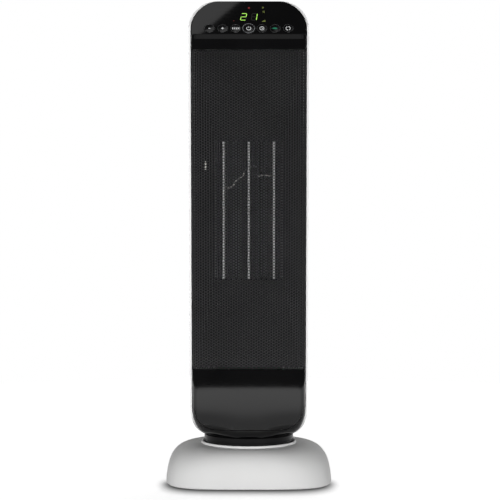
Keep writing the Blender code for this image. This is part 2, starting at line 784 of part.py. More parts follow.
def build_collar(carrier, pinion_carrier):
    spigot_low = SEAT_FLOOR_HEIGHT - SPIGOT_DROP
    ceiling = COLLAR_TOP - COLLAR_WALL
    bore = SPIGOT_RADIUS - SPIGOT_WALL
    profile = [
        (bore, COLLAR_TOP), (COLLAR_RADIUS, COLLAR_TOP), (COLLAR_RADIUS, COLLAR_BOTTOM),
        (COLLAR_RADIUS - COLLAR_WALL, COLLAR_BOTTOM), (COLLAR_RADIUS - COLLAR_WALL, ceiling),
        (SPIGOT_RADIUS, ceiling), (SPIGOT_RADIUS, spigot_low), (bore, spigot_low),
    ]
    collar = turned("swivel_collar", profile, ROUND_STEPS)
    hole = disc("collar_shaft_hole", PINION_SHAFT_RADIUS + RUNNING_GAP, ceiling - OVERRUN / 2, TOWER_BOTTOM)
    hole.location.y = PINION_Y
    cut(collar, hole)
    finish_part(collar, carrier, "gloss_black")

    high = SEAT_FLOOR_HEIGHT - FIT
    inner = SPIGOT_RADIUS + FIT
    retainer = ring(
        "retaining_ring", inner, inner + RETAINING_REACH, high - RETAINING_THICKNESS, high, ROUND_STEPS
    )
    finish_part(retainer, carrier, "steel")

    low = SEAT_TOP + FIT + RUNNING_GAP
    top = TOWER_BOTTOM + SHELL_WALL + FIT + PINION_SHAFT_REACH
    pinion = plate("swing_pinion", [gear_outline(PINION_TEETH, -math.pi / 2)], low, low + GEAR_FACE)
    shaft = disc("pinion_shaft", PINION_SHAFT_RADIUS, low + GEAR_FACE / 2, top)
    shaft.parent = pinion_carrier
    join(pinion, shaft)
    finish_part(pinion, pinion_carrier, "natural_nylon")

    floor = TOWER_BOTTOM + SHELL_WALL + FIT
    shaft_bore = PINION_SHAFT_RADIUS + FIT
    bore_top = top + RUNNING_GAP
    profile = [
        (0.0, floor + SWING_MOTOR_HEIGHT), (SWING_MOTOR_RADIUS, floor + SWING_MOTOR_HEIGHT),
        (SWING_MOTOR_RADIUS, floor), (shaft_bore, floor), (shaft_bore, bore_top), (0.0, bore_top),
    ]
    motor = turned("swing_motor", profile, SMALL_STEPS)
    finish_part(motor, pinion_carrier, "steel")


# Tower shells
def spigot_hole(name):
    """The tool for the hole that the tower's floor has over the hollow spigot."""
    return disc(name, SPIGOT_RADIUS - SPIGOT_WALL, COLLAR_TOP - OVERRUN, COLLAR_TOP + OVERRUN)


def build_rear_housing(carrier, panel_carrier):
    rows = [rear_section(height) for height in [*foot_heights(), *corner_heights()]]
    housing = add_wall(surface("rear_housing", rows, closed=False, floor=True, roof=True), SHELL_WALL)
    cut(housing, slope_tool("housing_slope", panel_carrier))

    cut(housing, spigot_hole("housing_spigot_hole"))
    hole = disc("housing_shaft_hole", PINION_SHAFT_RADIUS + RUNNING_GAP, COLLAR_TOP, COLLAR_TOP + OVERRUN)
    hole.location.y = PINION_Y
    cut(housing, hole)

    near = REAR_DEPTH - SHELL_WALL - OVERRUN
    far = REAR_DEPTH + OVERRUN
    low, high = filter_span()
    side = FILTER_WIDTH / 2 + FIT
    cut(housing, box("filter_opening", (-side, near, low - FIT), (side, far, high + FIT)))

    low, high = handle_span()
    side = HANDLE_WIDTH / 2 + FIT
    cut(housing, box("handle_opening", (-side, near, low - FIT), (side, far, high + FIT)))

    for number, (x, height) in enumerate(screw_places(), 1):
        hole = disc(f"screw_hole_{number}", SCREW_HEAD_RADIUS + FIT, -OVERRUN, OVERRUN, TINY_STEPS)
        cut(housing, across(hole, (x, REAR_DEPTH, height)))
    finish_part(housing, carrier, "white_plastic")


def filter_span():
    middle = (WINDOW_BOTTOM + WINDOW_TOP) / 2
    return middle - FILTER_HEIGHT / 2, middle + FILTER_HEIGHT / 2


def handle_span():
    middle = TOTAL_HEIGHT - HANDLE_BELOW_TOP
    return middle - HANDLE_HEIGHT / 2, middle + HANDLE_HEIGHT / 2


def screw_places():
    heights = (TOWER_BOTTOM + SCREW_LOW, TOTAL_HEIGHT - SCREW_HIGH)
    return [(side * SCREW_X, height) for height in heights for side in (-1, 1)]


def build_rear_fittings(carrier):
    low, high = filter_span()
    outer = REAR_DEPTH - FILTER_SINK
    inner = outer - FILTER_THICKNESS
    half = FILTER_WIDTH / 2
    grid = box("filter_frame", (-half, inner, low), (half, outer, high))
    cell_x = (FILTER_WIDTH - FILTER_BAR) / FILTER_COLUMNS
    cell_z = (FILTER_HEIGHT - FILTER_BAR) / FILTER_ROWS
    outlines = []
    for column in range(FILTER_COLUMNS):
        left = FILTER_BAR - half + column * cell_x
        right = left + cell_x - FILTER_BAR
        for row in range(FILTER_ROWS):
            bottom = low + FILTER_BAR + row * cell_z
            top = bottom + cell_z - FILTER_BAR
            outlines.append([(left, bottom), (right, bottom), (right, top), (left, top)])
    cut(grid, plate("filter_windows", outlines, inner - OVERRUN, outer + OVERRUN, "Y"))
    finish_part(grid, carrier, "satin_black")

    low, high = handle_span()
    outer = REAR_DEPTH - FILTER_SINK
    half = HANDLE_WIDTH / 2
    cup = box("handle_cup", (-half, outer - HANDLE_DEPTH, low), (half, outer, high))
    wall = HANDLE_WALL
    hollow = box(
        "handle_hollow",
        (wall - half, outer - HANDLE_DEPTH + wall, low + wall),
        (half - wall, outer + OVERRUN, high - wall),
    )
    cut(cup, soften(hollow, HANDLE_WALL))
    finish_part(cup, carrier, "white_plastic")

    for number, (x, height) in enumerate(screw_places(), 1):
        profile = [
            (0.0, 0.0), (SCREW_HEAD_RADIUS, 0.0), (SCREW_HEAD_RADIUS, -SCREW_HEAD_HEIGHT),
            (SCREW_SHANK_RADIUS, -SCREW_HEAD_HEIGHT), (SCREW_SHANK_RADIUS, -SCREW_LENGTH),
            (0.0, -SCREW_LENGTH),
        ]
        screw = turned(f"housing_screw_{number}", profile, TINY_STEPS)
        finish_part(across(screw, (x, REAR_DEPTH - SCREW_SINK, height)), carrier, "steel")


def build_front_frame(carrier, panel_carrier):
    rows = [front_section(height, JOINT_Y - FIT, -FRONT_DEPTH) for height in foot_heights()]
    rows.append(front_section(LEDGE_BOTTOM, JOINT_Y - FIT, -FRONT_DEPTH))
    rows.append(front_section(PANEL_BOTTOM, JOINT_Y - FIT, FRAME_TOP_Y))
    rows.append(front_section(CORNER_START, JOINT_Y - FIT, FRAME_TOP_Y))
    rows.append(front_section(CORNER_START + TOP_CORNER_RADIUS / 2, JOINT_Y - FIT, FRAME_TOP_Y))
    frame = add_wall(surface("front_frame", rows, closed=False, floor=True), FRAME_WALL)
    cut(frame, slope_tool("frame_slope", panel_carrier))
    cut(frame, spigot_hole("frame_spigot_hole"))
    opening = plate("frame_opening", [cover_outline(FIT)], -FRONT_DEPTH - OVERRUN, SKIN_Y + FIT, "Y")
    cut(frame, opening)
    finish_part(frame, carrier, "gloss_black")


def grille_section(height, crease_share):
    """Wrapped edges, then a facet that dips to the crease, then the flat middle of the dish."""
    wide = half_width(height, FRONT_INSET)
    radius = FRONT_EDGE_RADIUS
    flat = wide - radius
    centre = (flat, radius - FRONT_DEPTH)
    corner = arc(centre, (radius, radius), 0.0, -math.pi / 2, EDGE_STEPS)
    crease = flat * min(crease_share, CREASE_LIMIT_SHARE)
    depth = (flat - crease) * DISH_SLOPE
    right = [(wide, SKIN_Y), *corner, (crease, depth - FRONT_DEPTH)]
    return [(x, y, height) for x, y in right + mirrored(right)]


def grille_openings():
    """Outlines of diamond openings: close together before the heater, sparse in the rest of the grille."""
    pitch_x = WINDOW_WIDTH / GRILLE_HOLE_COLUMNS
    pitch_z = WINDOW_HEIGHT / GRILLE_HOLE_ROWS
    reach_x = pitch_x * GRILLE_HOLE_SHARE / 2
    reach_z = pitch_z * GRILLE_HOLE_SHARE / 2
    middle = (WINDOW_BOTTOM + WINDOW_TOP) / 2
    flat = half_width(GRILLE_BOTTOM, FRONT_INSET) - FRONT_EDGE_RADIUS
    most = int((flat - reach_x) / pitch_x)
    outlines = []
    for column in range(-most, most + 1):
        x = column * pitch_x
        above = int((GRILLE_TOP - GRILLE_HOLE_MARGIN - middle) / pitch_z)
        below = int((middle - GRILLE_BOTTOM - GRILLE_HOLE_MARGIN) / pitch_z)
        for row in range(-below, above):
            z = middle + (row + HALF_CELL_SHARE) * pitch_z
            before_heater = abs(x) < WINDOW_WIDTH / 2 and WINDOW_BOTTOM < z < WINDOW_TOP
            if before_heater or (column % SPARSE_STEP == 0 and row % SPARSE_STEP == 0):
                outlines.append([(x - reach_x, z), (x, z - reach_z), (x + reach_x, z), (x, z + reach_z)])
    return outlines


def build_front_grille(carrier):
    top = GRILLE_TOP - FIT
    bottom = GRILLE_BOTTOM + FIT
    rows = []
    for share, crease_share in reversed(CREASE_SHARES):
        rows.append(grille_section(top - share * (top - bottom), crease_share))
    grille = add_wall(surface("front_grille", rows, closed=False), GRILLE_WALL)
    cut(grille, plate("grille_holes", grille_openings(), -FRONT_DEPTH - OVERRUN, SKIN_Y + OVERRUN, "Y"))
    finish_part(grille, carrier, "satin_black")


def build_lower_cover(carrier):
    heights = [height for height in foot_heights() if height < GRILLE_BOTTOM]
    rows = [front_section(height, JOINT_Y, -FRONT_DEPTH) for height in heights]
    rows.append(front_section(GRILLE_BOTTOM - FIT, JOINT_Y, -FRONT_DEPTH))
    cover = add_wall(surface("lower_cover", rows, closed=False), COVER_WALL)
    keep = plate("cover_keep", [cover_outline(0.0)], -FRONT_DEPTH - OVERRUN, SKIN_Y, "Y")
    add_boolean(cover, keep, "INTERSECT")
    finish_part(cover, carrier, "gloss_black")


# Sloped control panel: X across, Y up the slope, Z out of it
def panel_outline():
    wide = half_width(CORNER_START, FRONT_INSET)
    start = (CORNER_START - PANEL_BOTTOM) / math.cos(PANEL_TILT)
    radii = (TOP_CORNER_RADIUS, PANEL_LENGTH - start)
    corner = arc((wide - radii[0], start), radii, 0.0, math.pi / 2, 2 * CORNER_STEPS)
    right = [(wide, 0.0), *corner]
    return right + mirrored(right)


def button_places():
    middle = (len(BUTTON_NAMES) - 1) / 2
    places = []
    for index, name in enumerate(BUTTON_NAMES):
        radius = POWER_RADIUS if name == "power" else BUTTON_RADIUS
        places.append((name, (index - middle) * BUTTON_PITCH, radius))
    return places


def build_control_panel(carrier):
    panel = plate("control_panel", [panel_outline()], -PANEL_THICKNESS, 0.0)
    stem_low = -BOARD_DEPTH + RUNNING_GAP + BUTTON_TRAVEL
    for name, x, radius in button_places():
        hole = disc(f"{name}_hole", radius + FIT, -OVERRUN, OVERRUN)
        hole.location = (x, BUTTON_UP, 0.0)
        hole.parent = carrier
        cut(panel, hole)
        profile = [
            (0.0, BUTTON_PROUD), (radius, BUTTON_PROUD), (radius, BUTTON_PROUD - BUTTON_CAP),
            (BUTTON_STEM_RADIUS, BUTTON_PROUD - BUTTON_CAP), (BUTTON_STEM_RADIUS, stem_low), (0.0, stem_low),
        ]
        button = turned(f"button_{name}", profile, SMALL_STEPS)
        button.location = (x, BUTTON_UP, 0.0)
        finish_part(button, carrier, "button_chrome" if name == "power" else "button_grey")
    finish_part(panel, carrier, "gloss_black")


def build_control_board(carrier):
    half = BOARD_WIDTH / 2
    top = -BOARD_DEPTH - BUTTON_TRAVEL
    board = box("control_board", (-half, BOARD_LOW, top - BOARD_THICKNESS), (half, BOARD_HIGH, top))
    inside = top - BOARD_THICKNESS / 2
    for name, x, _ in button_places():
        switch = disc(f"{name}_switch", SWITCH_RADIUS, inside, -BOARD_DEPTH + BUTTON_TRAVEL / 2, TINY_STEPS)
        switch.location = (x, BUTTON_UP, 0.0)
        switch.parent = carrier
        join(board, switch)
    under_panel = -PANEL_THICKNESS - FIT
    margin = 2 * BOARD_POST_RADIUS
    lower = (half - margin, BUTTON_UP + POWER_RADIUS + margin)
    upper = (half - 2 * margin, BOARD_HIGH - margin)
    for number, (reach, up) in enumerate((lower, upper), 1):
        for side in (-1, 1):
            post = disc(f"board_post_{side}_{number}", BOARD_POST_RADIUS, inside, under_panel, TINY_STEPS)
            post.location = (side * reach, up, 0.0)
            post.parent = carrier
            join(board, post)
    finish_part(board, carrier, "circuit_green")

    half = DISPLAY_WIDTH / 2
    display = box("display_module", (-half, DISPLAY_LOW, top + FIT), (half, DISPLAY_HIGH, under_panel))
    finish_part(display, carrier, "display_glass")


# Heating element behind the grille
def rectangle(half_x, low, high):
    return [(-half_x, low), (half_x, low), (half_x, high), (-half_x, high)]


def build_heater(carrier):
    wide = half_width(TOWER_BOTTOM + FOOT_BLEND_HEIGHT, FRONT_INSET) - FRAME_WALL - FIT
    margin = FIT + GRILLE_WALL
    outline = rectangle(wide, GRILLE_BOTTOM + margin, GRILLE_TOP - margin)
    window = rectangle(WINDOW_WIDTH / 2, WINDOW_BOTTOM, WINDOW_TOP)
    baffle = plate("air_baffle", [outline, window], BAFFLE_Y - BAFFLE_WALL, BAFFLE_Y, "Y")
    finish_part(baffle, carrier, "satin_black")

    outline = rectangle(WINDOW_WIDTH / 2 + HEATER_FRAME_WALL, HEATER_BOTTOM, HEATER_TOP)
    frame = plate("heater_frame", [outline, window], HEATER_FRONT, HEATER_REAR, "Y")
    finish_part(frame, carrier, "satin_black")

    middle = (HEATER_FRONT + HEATER_REAR) / 2
    front = middle - FIN_DEPTH / 2
    rear = middle + FIN_DEPTH / 2
    low = WINDOW_BOTTOM + FIT
    high = WINDOW_TOP - FIT
    fin_pitch = (high - low) / FIN_COUNT
    half = TUBE_WIDTH / 2
    for number, x in enumerate((-TUBE_PITCH, 0.0, TUBE_PITCH), 1):
        tube = box(f"ptc_tube_{number}", (x - half, front, low), (x + half, rear, high))
        finish_part(tube, carrier, "aluminium")
        for side, word in ((-1, "left"), (1, "right")):
            inner = x + side * (half + FIT)
            outer = inner + side * FIN_REACH
            back = outer - side * FIN_PLATE
            past = inner - side * TUBE_WIDTH
            name = f"fin_pack_{number}_{word}"
            pack = box(name, (min(inner, outer), front, low), (max(inner, outer), rear, high))
            slots = []
            for fin in range(FIN_COUNT + 1):
                bottom = low + (fin - HALF_CELL_SHARE) * fin_pitch + FIN_THICKNESS / 2
                top = bottom + fin_pitch - FIN_THICKNESS
                slots.append([(past, bottom), (back, bottom), (back, top), (past, top)])
            cut(pack, plate(f"{name}_slots", slots, front - OVERRUN, rear + OVERRUN, "Y"))
            finish_part(pack, carrier, "aluminium")
    build_fuse(carrier, front)


def build_fuse(carrier, fin_front):
    curve = bpy.data.curves.new("thermal_fuse", "CURVE")
    curve.dimensions = "3D"
    curve.bevel_depth = FUSE_RADIUS
    curve.bevel_resolution = 1
    curve.use_fill_caps = True
    spline = curve.splines.new("POLY")
    spline.points.add(len(FUSE_ROUTE_SHARES) - 1)
    y = fin_front - FUSE_RADIUS - FIT
    for point, (share_x, share_z) in zip(spline.points, FUSE_ROUTE_SHARES):
        point.co = (share_x * WINDOW_WIDTH, y, WINDOW_BOTTOM + share_z * WINDOW_HEIGHT, 1.0)
    finish_part(as_mesh(add_object("thermal_fuse", curve)), carrier, "steel")

    top = WINDOW_TOP - SENSOR_BELOW_WINDOW_TOP + SENSOR_LENGTH / 2
    sensor = disc("ambient_sensor", SENSOR_RADIUS, -SENSOR_LENGTH, 0.0, TINY_STEPS)
    sensor.location = (SENSOR_X, BAFFLE_Y - BAFFLE_WALL - SENSOR_RADIUS - FIT, top)
    finish_part(sensor, carrier, "ceramic_white")


# Cross-flow blower
def blower_plate(name, low, high, hole_radius):
    """A shelf across the tower, which follows the housing's inner wall."""
    inset = SHELL_WALL + FIT
    outline = []
    front = JOINT_Y + RUNNING_GAP
    for x, y, _ in rear_section((low + high) / 2, inset):
        if y >= FAN_Y - FAN_RADIUS:
            outline.append((x, min(y, BLOWER_PLATE_REAR)))
    wide = half_width((low + high) / 2, inset)
    outline = [(-wide, front), *outline, (wide, front)]
    hole = arc((0.0, FAN_Y), (hole_radius, hole_radius), 0.0, math.tau, SMALL_STEPS)[:-1]
    return plate(name, [outline, hole], low, high)


def build_blower(carrier):
    under = FAN_FLOOR - BLOWER_PLATE
    floor = blower_plate("blower_bottom_plate", under, FAN_FLOOR, SHAFT_RADIUS + RUNNING_GAP)
    finish_part(floor, carrier, "steel")
    above = FAN_CEILING + BLOWER_PLATE
    ceiling = blower_plate("blower_top_plate", FAN_CEILING, above, BEARING_RADIUS + FIT)
    finish_part(ceiling, carrier, "steel")

    low = FAN_FLOOR + FIT
    high = FAN_CEILING - FIT
    duct_y = HEATER_REAR + FIT
    duct_end = duct_y + 2 * BLOWER_WALL
    spiral = []
    for angle in spaced(SCROLL_START, SCROLL_END, 2 * CORNER_STEPS):
        share = (SCROLL_START - angle) / (SCROLL_START - SCROLL_END)
        radius = SCROLL_WIDE + (SCROLL_NARROW - SCROLL_WIDE) * share
        spiral.append((radius * math.cos(angle), FAN_Y + radius * math.sin(angle)))
    start = [(-DUCT_HALF_WIDTH, duct_y), (-DUCT_HALF_WIDTH, duct_end)]
    scroll = plate("scroll_wall", [band(start + spiral, BLOWER_WALL)], low, high)
    finish_part(scroll, carrier, "steel")

    nose = (TONGUE_RADIUS * math.cos(TONGUE_ANGLE), FAN_Y + TONGUE_RADIUS * math.sin(TONGUE_ANGLE))
    lip = (nose[0] + BLOWER_WALL, nose[1] + BLOWER_WALL)
    wing = (half_width(WINDOW_TOP, SHELL_WALL) - BLOWER_WALL, FAN_Y + TONGUE_REAR)
    throat = (nose[0] + BLOWER_WALL, nose[1] - 2 * BLOWER_WALL)
    line = [(DUCT_HALF_WIDTH, duct_y), (DUCT_HALF_WIDTH, duct_end), throat, nose, lip, wing]
    tongue = plate("tongue_wall", [band(line, BLOWER_WALL)], low, high)
    finish_part(tongue, carrier, "steel")


def build_fan(carrier, tower_carrier):
    low = FAN_FLOOR + FAN_END_GAP
    high = FAN_CEILING - FAN_END_GAP
    bore = SHAFT_RADIUS + FIT
    wheel = ring("fan_impeller", bore, FAN_RADIUS, low, low + FAN_DISC, ROUND_STEPS)
    top_disc = ring("impeller_top_disc", bore, FAN_RADIUS, high - FAN_DISC, high, ROUND_STEPS)
    outlines = []
    outer = FAN_RADIUS - FAN_DISC / 4
    for blade in range(FAN_BLADES):
        turn = math.tau * blade / FAN_BLADES
        line = []
        for share, lead in FAN_BLADE_SHARES:
            radius = outer - FAN_BLADE_DEPTH * share
            angle = turn + FAN_BLADE_SWEEP * lead
            line.append((radius * math.cos(angle), radius * math.sin(angle)))
        outlines.append(band(line, FAN_BLADE_WALL))
    blades = plate("impeller_blades", outlines, low + FAN_DISC / 2, high - FAN_DISC / 2)
    for tool in (blades, top_disc):
        tool.parent = carrier
        join(wheel, tool)
    finish_part(wheel, carrier, "aluminium")

    shaft_low = MOTOR_TOP - MOTOR_BORE_DEPTH + RUNNING_GAP
    shaft = disc("fan_shaft", SHAFT_RADIUS, shaft_low, FAN_CEILING + BEARING_HEIGHT)
    finish_part(shaft, carrier, "steel")

    bore_floor = MOTOR_TOP - MOTOR_BORE_DEPTH
    profile = [
        (0.0, bore_floor), (bore, bore_floor), (bore, MOTOR_TOP),
        (MOTOR_RADIUS, MOTOR_TOP), (MOTOR_RADIUS, MOTOR_FLOOR), (0.0, MOTOR_FLOOR),
    ]
    motor = turned("fan_motor", profile, ROUND_STEPS)
    motor.location.y = FAN_Y
    finish_part(motor, tower_carrier, "steel")

    rest = FAN_CEILING + BLOWER_PLATE + FIT
    profile = [
        (bore, rest + FAN_DISC), (BEARING_FLANGE, rest + FAN_DISC), (BEARING_FLANGE, rest),
        (BEARING_RADIUS, rest), (BEARING_RADIUS, FAN_CEILING), (bore, FAN_CEILING),
    ]
    bearing = turned("top_bearing", profile, SMALL_STEPS)
    bearing.location.y = FAN_Y
    finish_part(bearing, tower_carrier, "steel")


def build_power_board(carrier):
    half = POWER_BOARD_WIDTH / 2
    low = POWER_BOARD_BOTTOM
    high = POWER_BOARD_TOP
    face = POWER_BOARD_Y
    board = box("power_board", (-half, face, low), (half, face + BOARD_THICKNESS, high))
    inside = face + BOARD_THICKNESS / 2
    reach = REAR_DEPTH - SHELL_WALL - FIT - inside
    for number, height in enumerate((low + POWER_POST_MARGIN, high - POWER_POST_MARGIN), 1):
        for side in (-1, 1):
            post = disc(f"power_post_{side}_{number}", BOARD_POST_RADIUS, 0.0, reach, TINY_STEPS)
            join(board, across(post, (side * POWER_POST_X, inside, height)))
    for number, (left, right, bottom, top, depth) in enumerate(POWER_PART_SHARES, 1):
        block = box(
            f"power_block_{number}",
            (left * half, face - POWER_PART_DEPTH * depth, low + bottom * (high - low)),
            (right * half, inside, low + top * (high - low)),
        )
        join(board, block)
    finish_part(board, carrier, "circuit_green")


def main():
    base = add_empty("base_origin", (0.0, 0.0, 0.0))
    tower = add_empty("swivel_axis", (0.0, 0.0, 0.0))
    panel = add_empty("panel_plane", (0.0, FRAME_TOP_Y, PANEL_BOTTOM), math.pi / 2 - PANEL_TILT)
    panel.parent = tower
    pinion = add_empty("pinion_axis", (0.0, PINION_Y, 0.0))
    pinion.parent = tower
    fan = add_empty("fan_axis", (0.0, FAN_Y, 0.0))
    fan.parent = tower

    build_base_shell(base)
    build_base_floor(base)
    build_gland(base)
    build_tip_switch(base)
    build_seat(base)
    build_collar(tower, pinion)
    build_rear_housing(tower, panel)
    build_rear_fittings(tower)
    build_front_frame(tower, panel)
    build_front_grille(tower)
    build_lower_cover(tower)
    build_control_panel(panel)
    build_control_board(panel)
    build_heater(tower)
    build_blower(tower)
    build_fan(fan, tower)
    build_power_board(tower)


main()
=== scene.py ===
"""Looks of a ceramic tower fan heater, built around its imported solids.

Metres, +Z up, front towards -Y. The origin is on the floor, on the swivel axis.
"""

import logging
import math
from collections.abc import Iterable, Sequence
from dataclasses import dataclass
from enum import Enum
from typing import Any

import bmesh
import bpy
from bpy.types import Material, Mesh, Node, NodeSocket, Object
from mathutils import Matrix, Vector


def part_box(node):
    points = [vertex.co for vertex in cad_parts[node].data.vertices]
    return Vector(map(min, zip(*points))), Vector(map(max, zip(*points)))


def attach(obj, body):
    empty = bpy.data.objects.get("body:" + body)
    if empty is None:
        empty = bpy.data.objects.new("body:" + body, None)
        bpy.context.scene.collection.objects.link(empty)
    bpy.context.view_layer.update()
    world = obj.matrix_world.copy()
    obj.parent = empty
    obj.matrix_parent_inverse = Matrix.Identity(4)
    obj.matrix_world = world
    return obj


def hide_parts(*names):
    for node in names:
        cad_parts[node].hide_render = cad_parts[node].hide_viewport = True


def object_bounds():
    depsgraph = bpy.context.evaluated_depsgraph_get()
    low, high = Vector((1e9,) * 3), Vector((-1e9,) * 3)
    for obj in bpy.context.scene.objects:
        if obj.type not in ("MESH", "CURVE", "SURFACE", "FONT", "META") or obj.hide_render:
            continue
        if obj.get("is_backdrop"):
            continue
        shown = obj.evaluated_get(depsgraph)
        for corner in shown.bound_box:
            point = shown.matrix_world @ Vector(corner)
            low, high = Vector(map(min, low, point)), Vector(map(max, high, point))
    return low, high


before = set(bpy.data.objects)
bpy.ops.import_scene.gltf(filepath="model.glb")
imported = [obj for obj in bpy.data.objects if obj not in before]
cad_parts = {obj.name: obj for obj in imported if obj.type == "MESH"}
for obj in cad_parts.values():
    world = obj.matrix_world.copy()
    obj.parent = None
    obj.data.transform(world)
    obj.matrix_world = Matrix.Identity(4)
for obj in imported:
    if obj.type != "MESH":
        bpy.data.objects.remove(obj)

Flat = tuple[float, float]
Place = tuple[float, float, float]
Colour = tuple[float, float, float]
Face = tuple[int, ...]
Stroke = tuple[list[Flat], list[Face]]

LOG = logging.getLogger("heater")
ORIGIN: Place = (0.0, 0.0, 0.0)
EVEN: Place = (1.0, 1.0, 1.0)
WHITE: Colour = (1.0, 1.0, 1.0)
WELD = 0.000002
SMOOTH_ANGLE = math.radians(32)
SHEET_ANGLE = math.radians(12)
WEIGHED_FACES = 20000
NOISE_LOW, NOISE_HIGH = 0.3, 0.7


class Body(str, Enum):
    """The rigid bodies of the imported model."""

    BASE = "base"
    TOWER = "tower"
    FAN = "fan"
    FILTER = "filter"


class Slot(str, Enum):
    """The record's material slots."""

    WHITE = "shell_white"
    FRONT = "front_black"
    GRILLE = "grille_black"
    NECK = "neck_black"
    KEY = "button_black"
    POWER_KEY = "button_metal"
    INNER = "inner_black"
    RUBBER = "foot_rubber"
    STEEL = "sheet_steel"
    ALUMINIUM = "fin_aluminium"
    SENSOR = "sensor_white"
    DISPLAY = "display_dark"


class Key(str, Enum):
    """The push buttons, in the order in which they stand on the panel."""

    MINUS = "minus"
    PLUS = "plus"
    MODE = "mode"
    POWER = "power"
    TIMER = "timer"
    ECO = "eco"
    SWING = "swing"


class Facing(Enum):
    """Where a plane's normal points, as its turn about X from straight up."""

    FRONT = math.pi / 2
    REAR = -math.pi / 2
    DOWN = math.pi

    def at(self, place: Place) -> Matrix:
        """The plane at a place."""
        return Matrix.Translation(place) @ Matrix.Rotation(self.value, 4, "X")


# Node trees
class NodeGraph:
    """What a material's tree and a Geometry Nodes tree share."""

    def __init__(self, tree: bpy.types.NodeTree) -> None:
        """Keep the tree that the nodes go into."""
        self.tree = tree

    def add(self, kind: str, values: dict[Any, Any] | None = None, **settings: Any) -> Node:
        """Add a node.

        Args:
            kind: The node's type name.
            values: Its inputs, each a value or the socket that feeds it.
            **settings: Its own properties.

        Returns:
            The new node.
        """
        node = self.tree.nodes.new(kind)
        for key, value in settings.items():
            setattr(node, key, value)
        self.feed(node, values or {})
        return node

    def feed(self, node: Node, values: dict[Any, Any]) -> None:
        """Set a node's inputs.

        Args:
            node: The node.
            values: Its inputs by name or number, each a value or a socket.
        """
        for key, value in values.items():
            if isinstance(value, NodeSocket):
                self.tree.links.new(value, node.inputs[key])
            else:
                node.inputs[key].default_value = value

    def made(self, kind: str, values: dict[Any, Any] | None = None, **settings: Any) -> NodeSocket:
        """The first output of a new node."""
        return self.add(kind, values, **settings).outputs[0]

    def math(self, operation: str, first: Any, second: Any = 0.0) -> NodeSocket:
        """What a Math node makes of two values or sockets."""
        return self.made("ShaderNodeMath", {0: first, 1: second}, operation=operation)

    def part(self, vector: NodeSocket, axis: str) -> NodeSocket:
        """One axis of a vector."""
        return self.add("ShaderNodeSeparateXYZ", {0: vector}).outputs[axis]

    def vector(self, **parts: Any) -> NodeSocket:
        """A vector of the values or sockets that its axes are given."""
        return self.made("ShaderNodeCombineXYZ", parts)


class ShaderGraph(NodeGraph):
    """A material's node tree round one Principled surface."""

    def __init__(self, name: str) -> None:
        """Start a material.

        Args:
            name: The material's name.
        """
        self.material = bpy.data.materials.new(name)
        self.material.use_nodes = True
        super().__init__(self.material.node_tree)
        self.surface = self.tree.nodes["Principled BSDF"]
        self.place = self.add("ShaderNodeTexCoord").outputs["Object"]

    def noise(self, scale: float, detail: float = 3.0, stretch: Place = EVEN) -> NodeSocket:
        """Noise in object space, by its cells per metre, its octaves and its scale along each axis."""
        stretched = self.made("ShaderNodeMapping", {"Vector": self.place, "Scale": stretch})
        return self.made("ShaderNodeTexNoise", {"Vector": stretched, "Scale": scale, "Detail": detail})

    def remap(self, source: NodeSocket, *ends: float, smooth: bool = False) -> NodeSocket:
        """Carry a value from one range to another.

        Args:
            source: The value.
            *ends: The two ends of the old range, then those of the new one.
            smooth: Whether it eases in and out.

        Returns:
            The socket of the new value.
        """
        values = {"Value": source, **dict(zip(("From Min", "From Max", "To Min", "To Max"), ends))}
        kind = "SMOOTHSTEP" if smooth else "LINEAR"
        return self.made("ShaderNodeMapRange", values, interpolation_type=kind)

    def span(self, source: NodeSocket, low: float, high: float) -> NodeSocket:
        """Noise stretched over a range."""
        return self.remap(source, NOISE_LOW, NOISE_HIGH, low, high)

    def blend(self, share: Any, first: Any, second: Any) -> NodeSocket:
        """A mix of two colours or sockets, by the share of the second."""
        return self.add("ShaderNodeMix", {0: share, 6: first, 7: second}, data_type="RGBA").outputs[2]

    def bump(self, height: NodeSocket, distance: float) -> None:
        """Raise the surface by a height, of which one stands out by a distance."""
        values = {"Height": height, "Distance": distance, "Strength": 1.0}
        self.feed(self.surface, {"Normal": self.made("ShaderNodeBump", values)})


def shade(colour: Colour, factor: float = 1.0) -> tuple[float, float, float, float]:
    """A colour made lighter or darker, with full alpha."""
    return (*(min(1.0, part * factor) for part in colour), 1.0)


# Finishes
class Finish:
    """What all finishes share: a name makes a material."""

    def material(self, name: str) -> Material:
        """Build the material.

        Args:
            name: Its name.

        Returns:
            The material.
        """
        graph = ShaderGraph(name)
        self.paint(graph)
        return graph.material

    def paint(self, graph: ShaderGraph) -> None:
        """Lay the finish's own nodes into a material's tree."""
        raise NotImplementedError


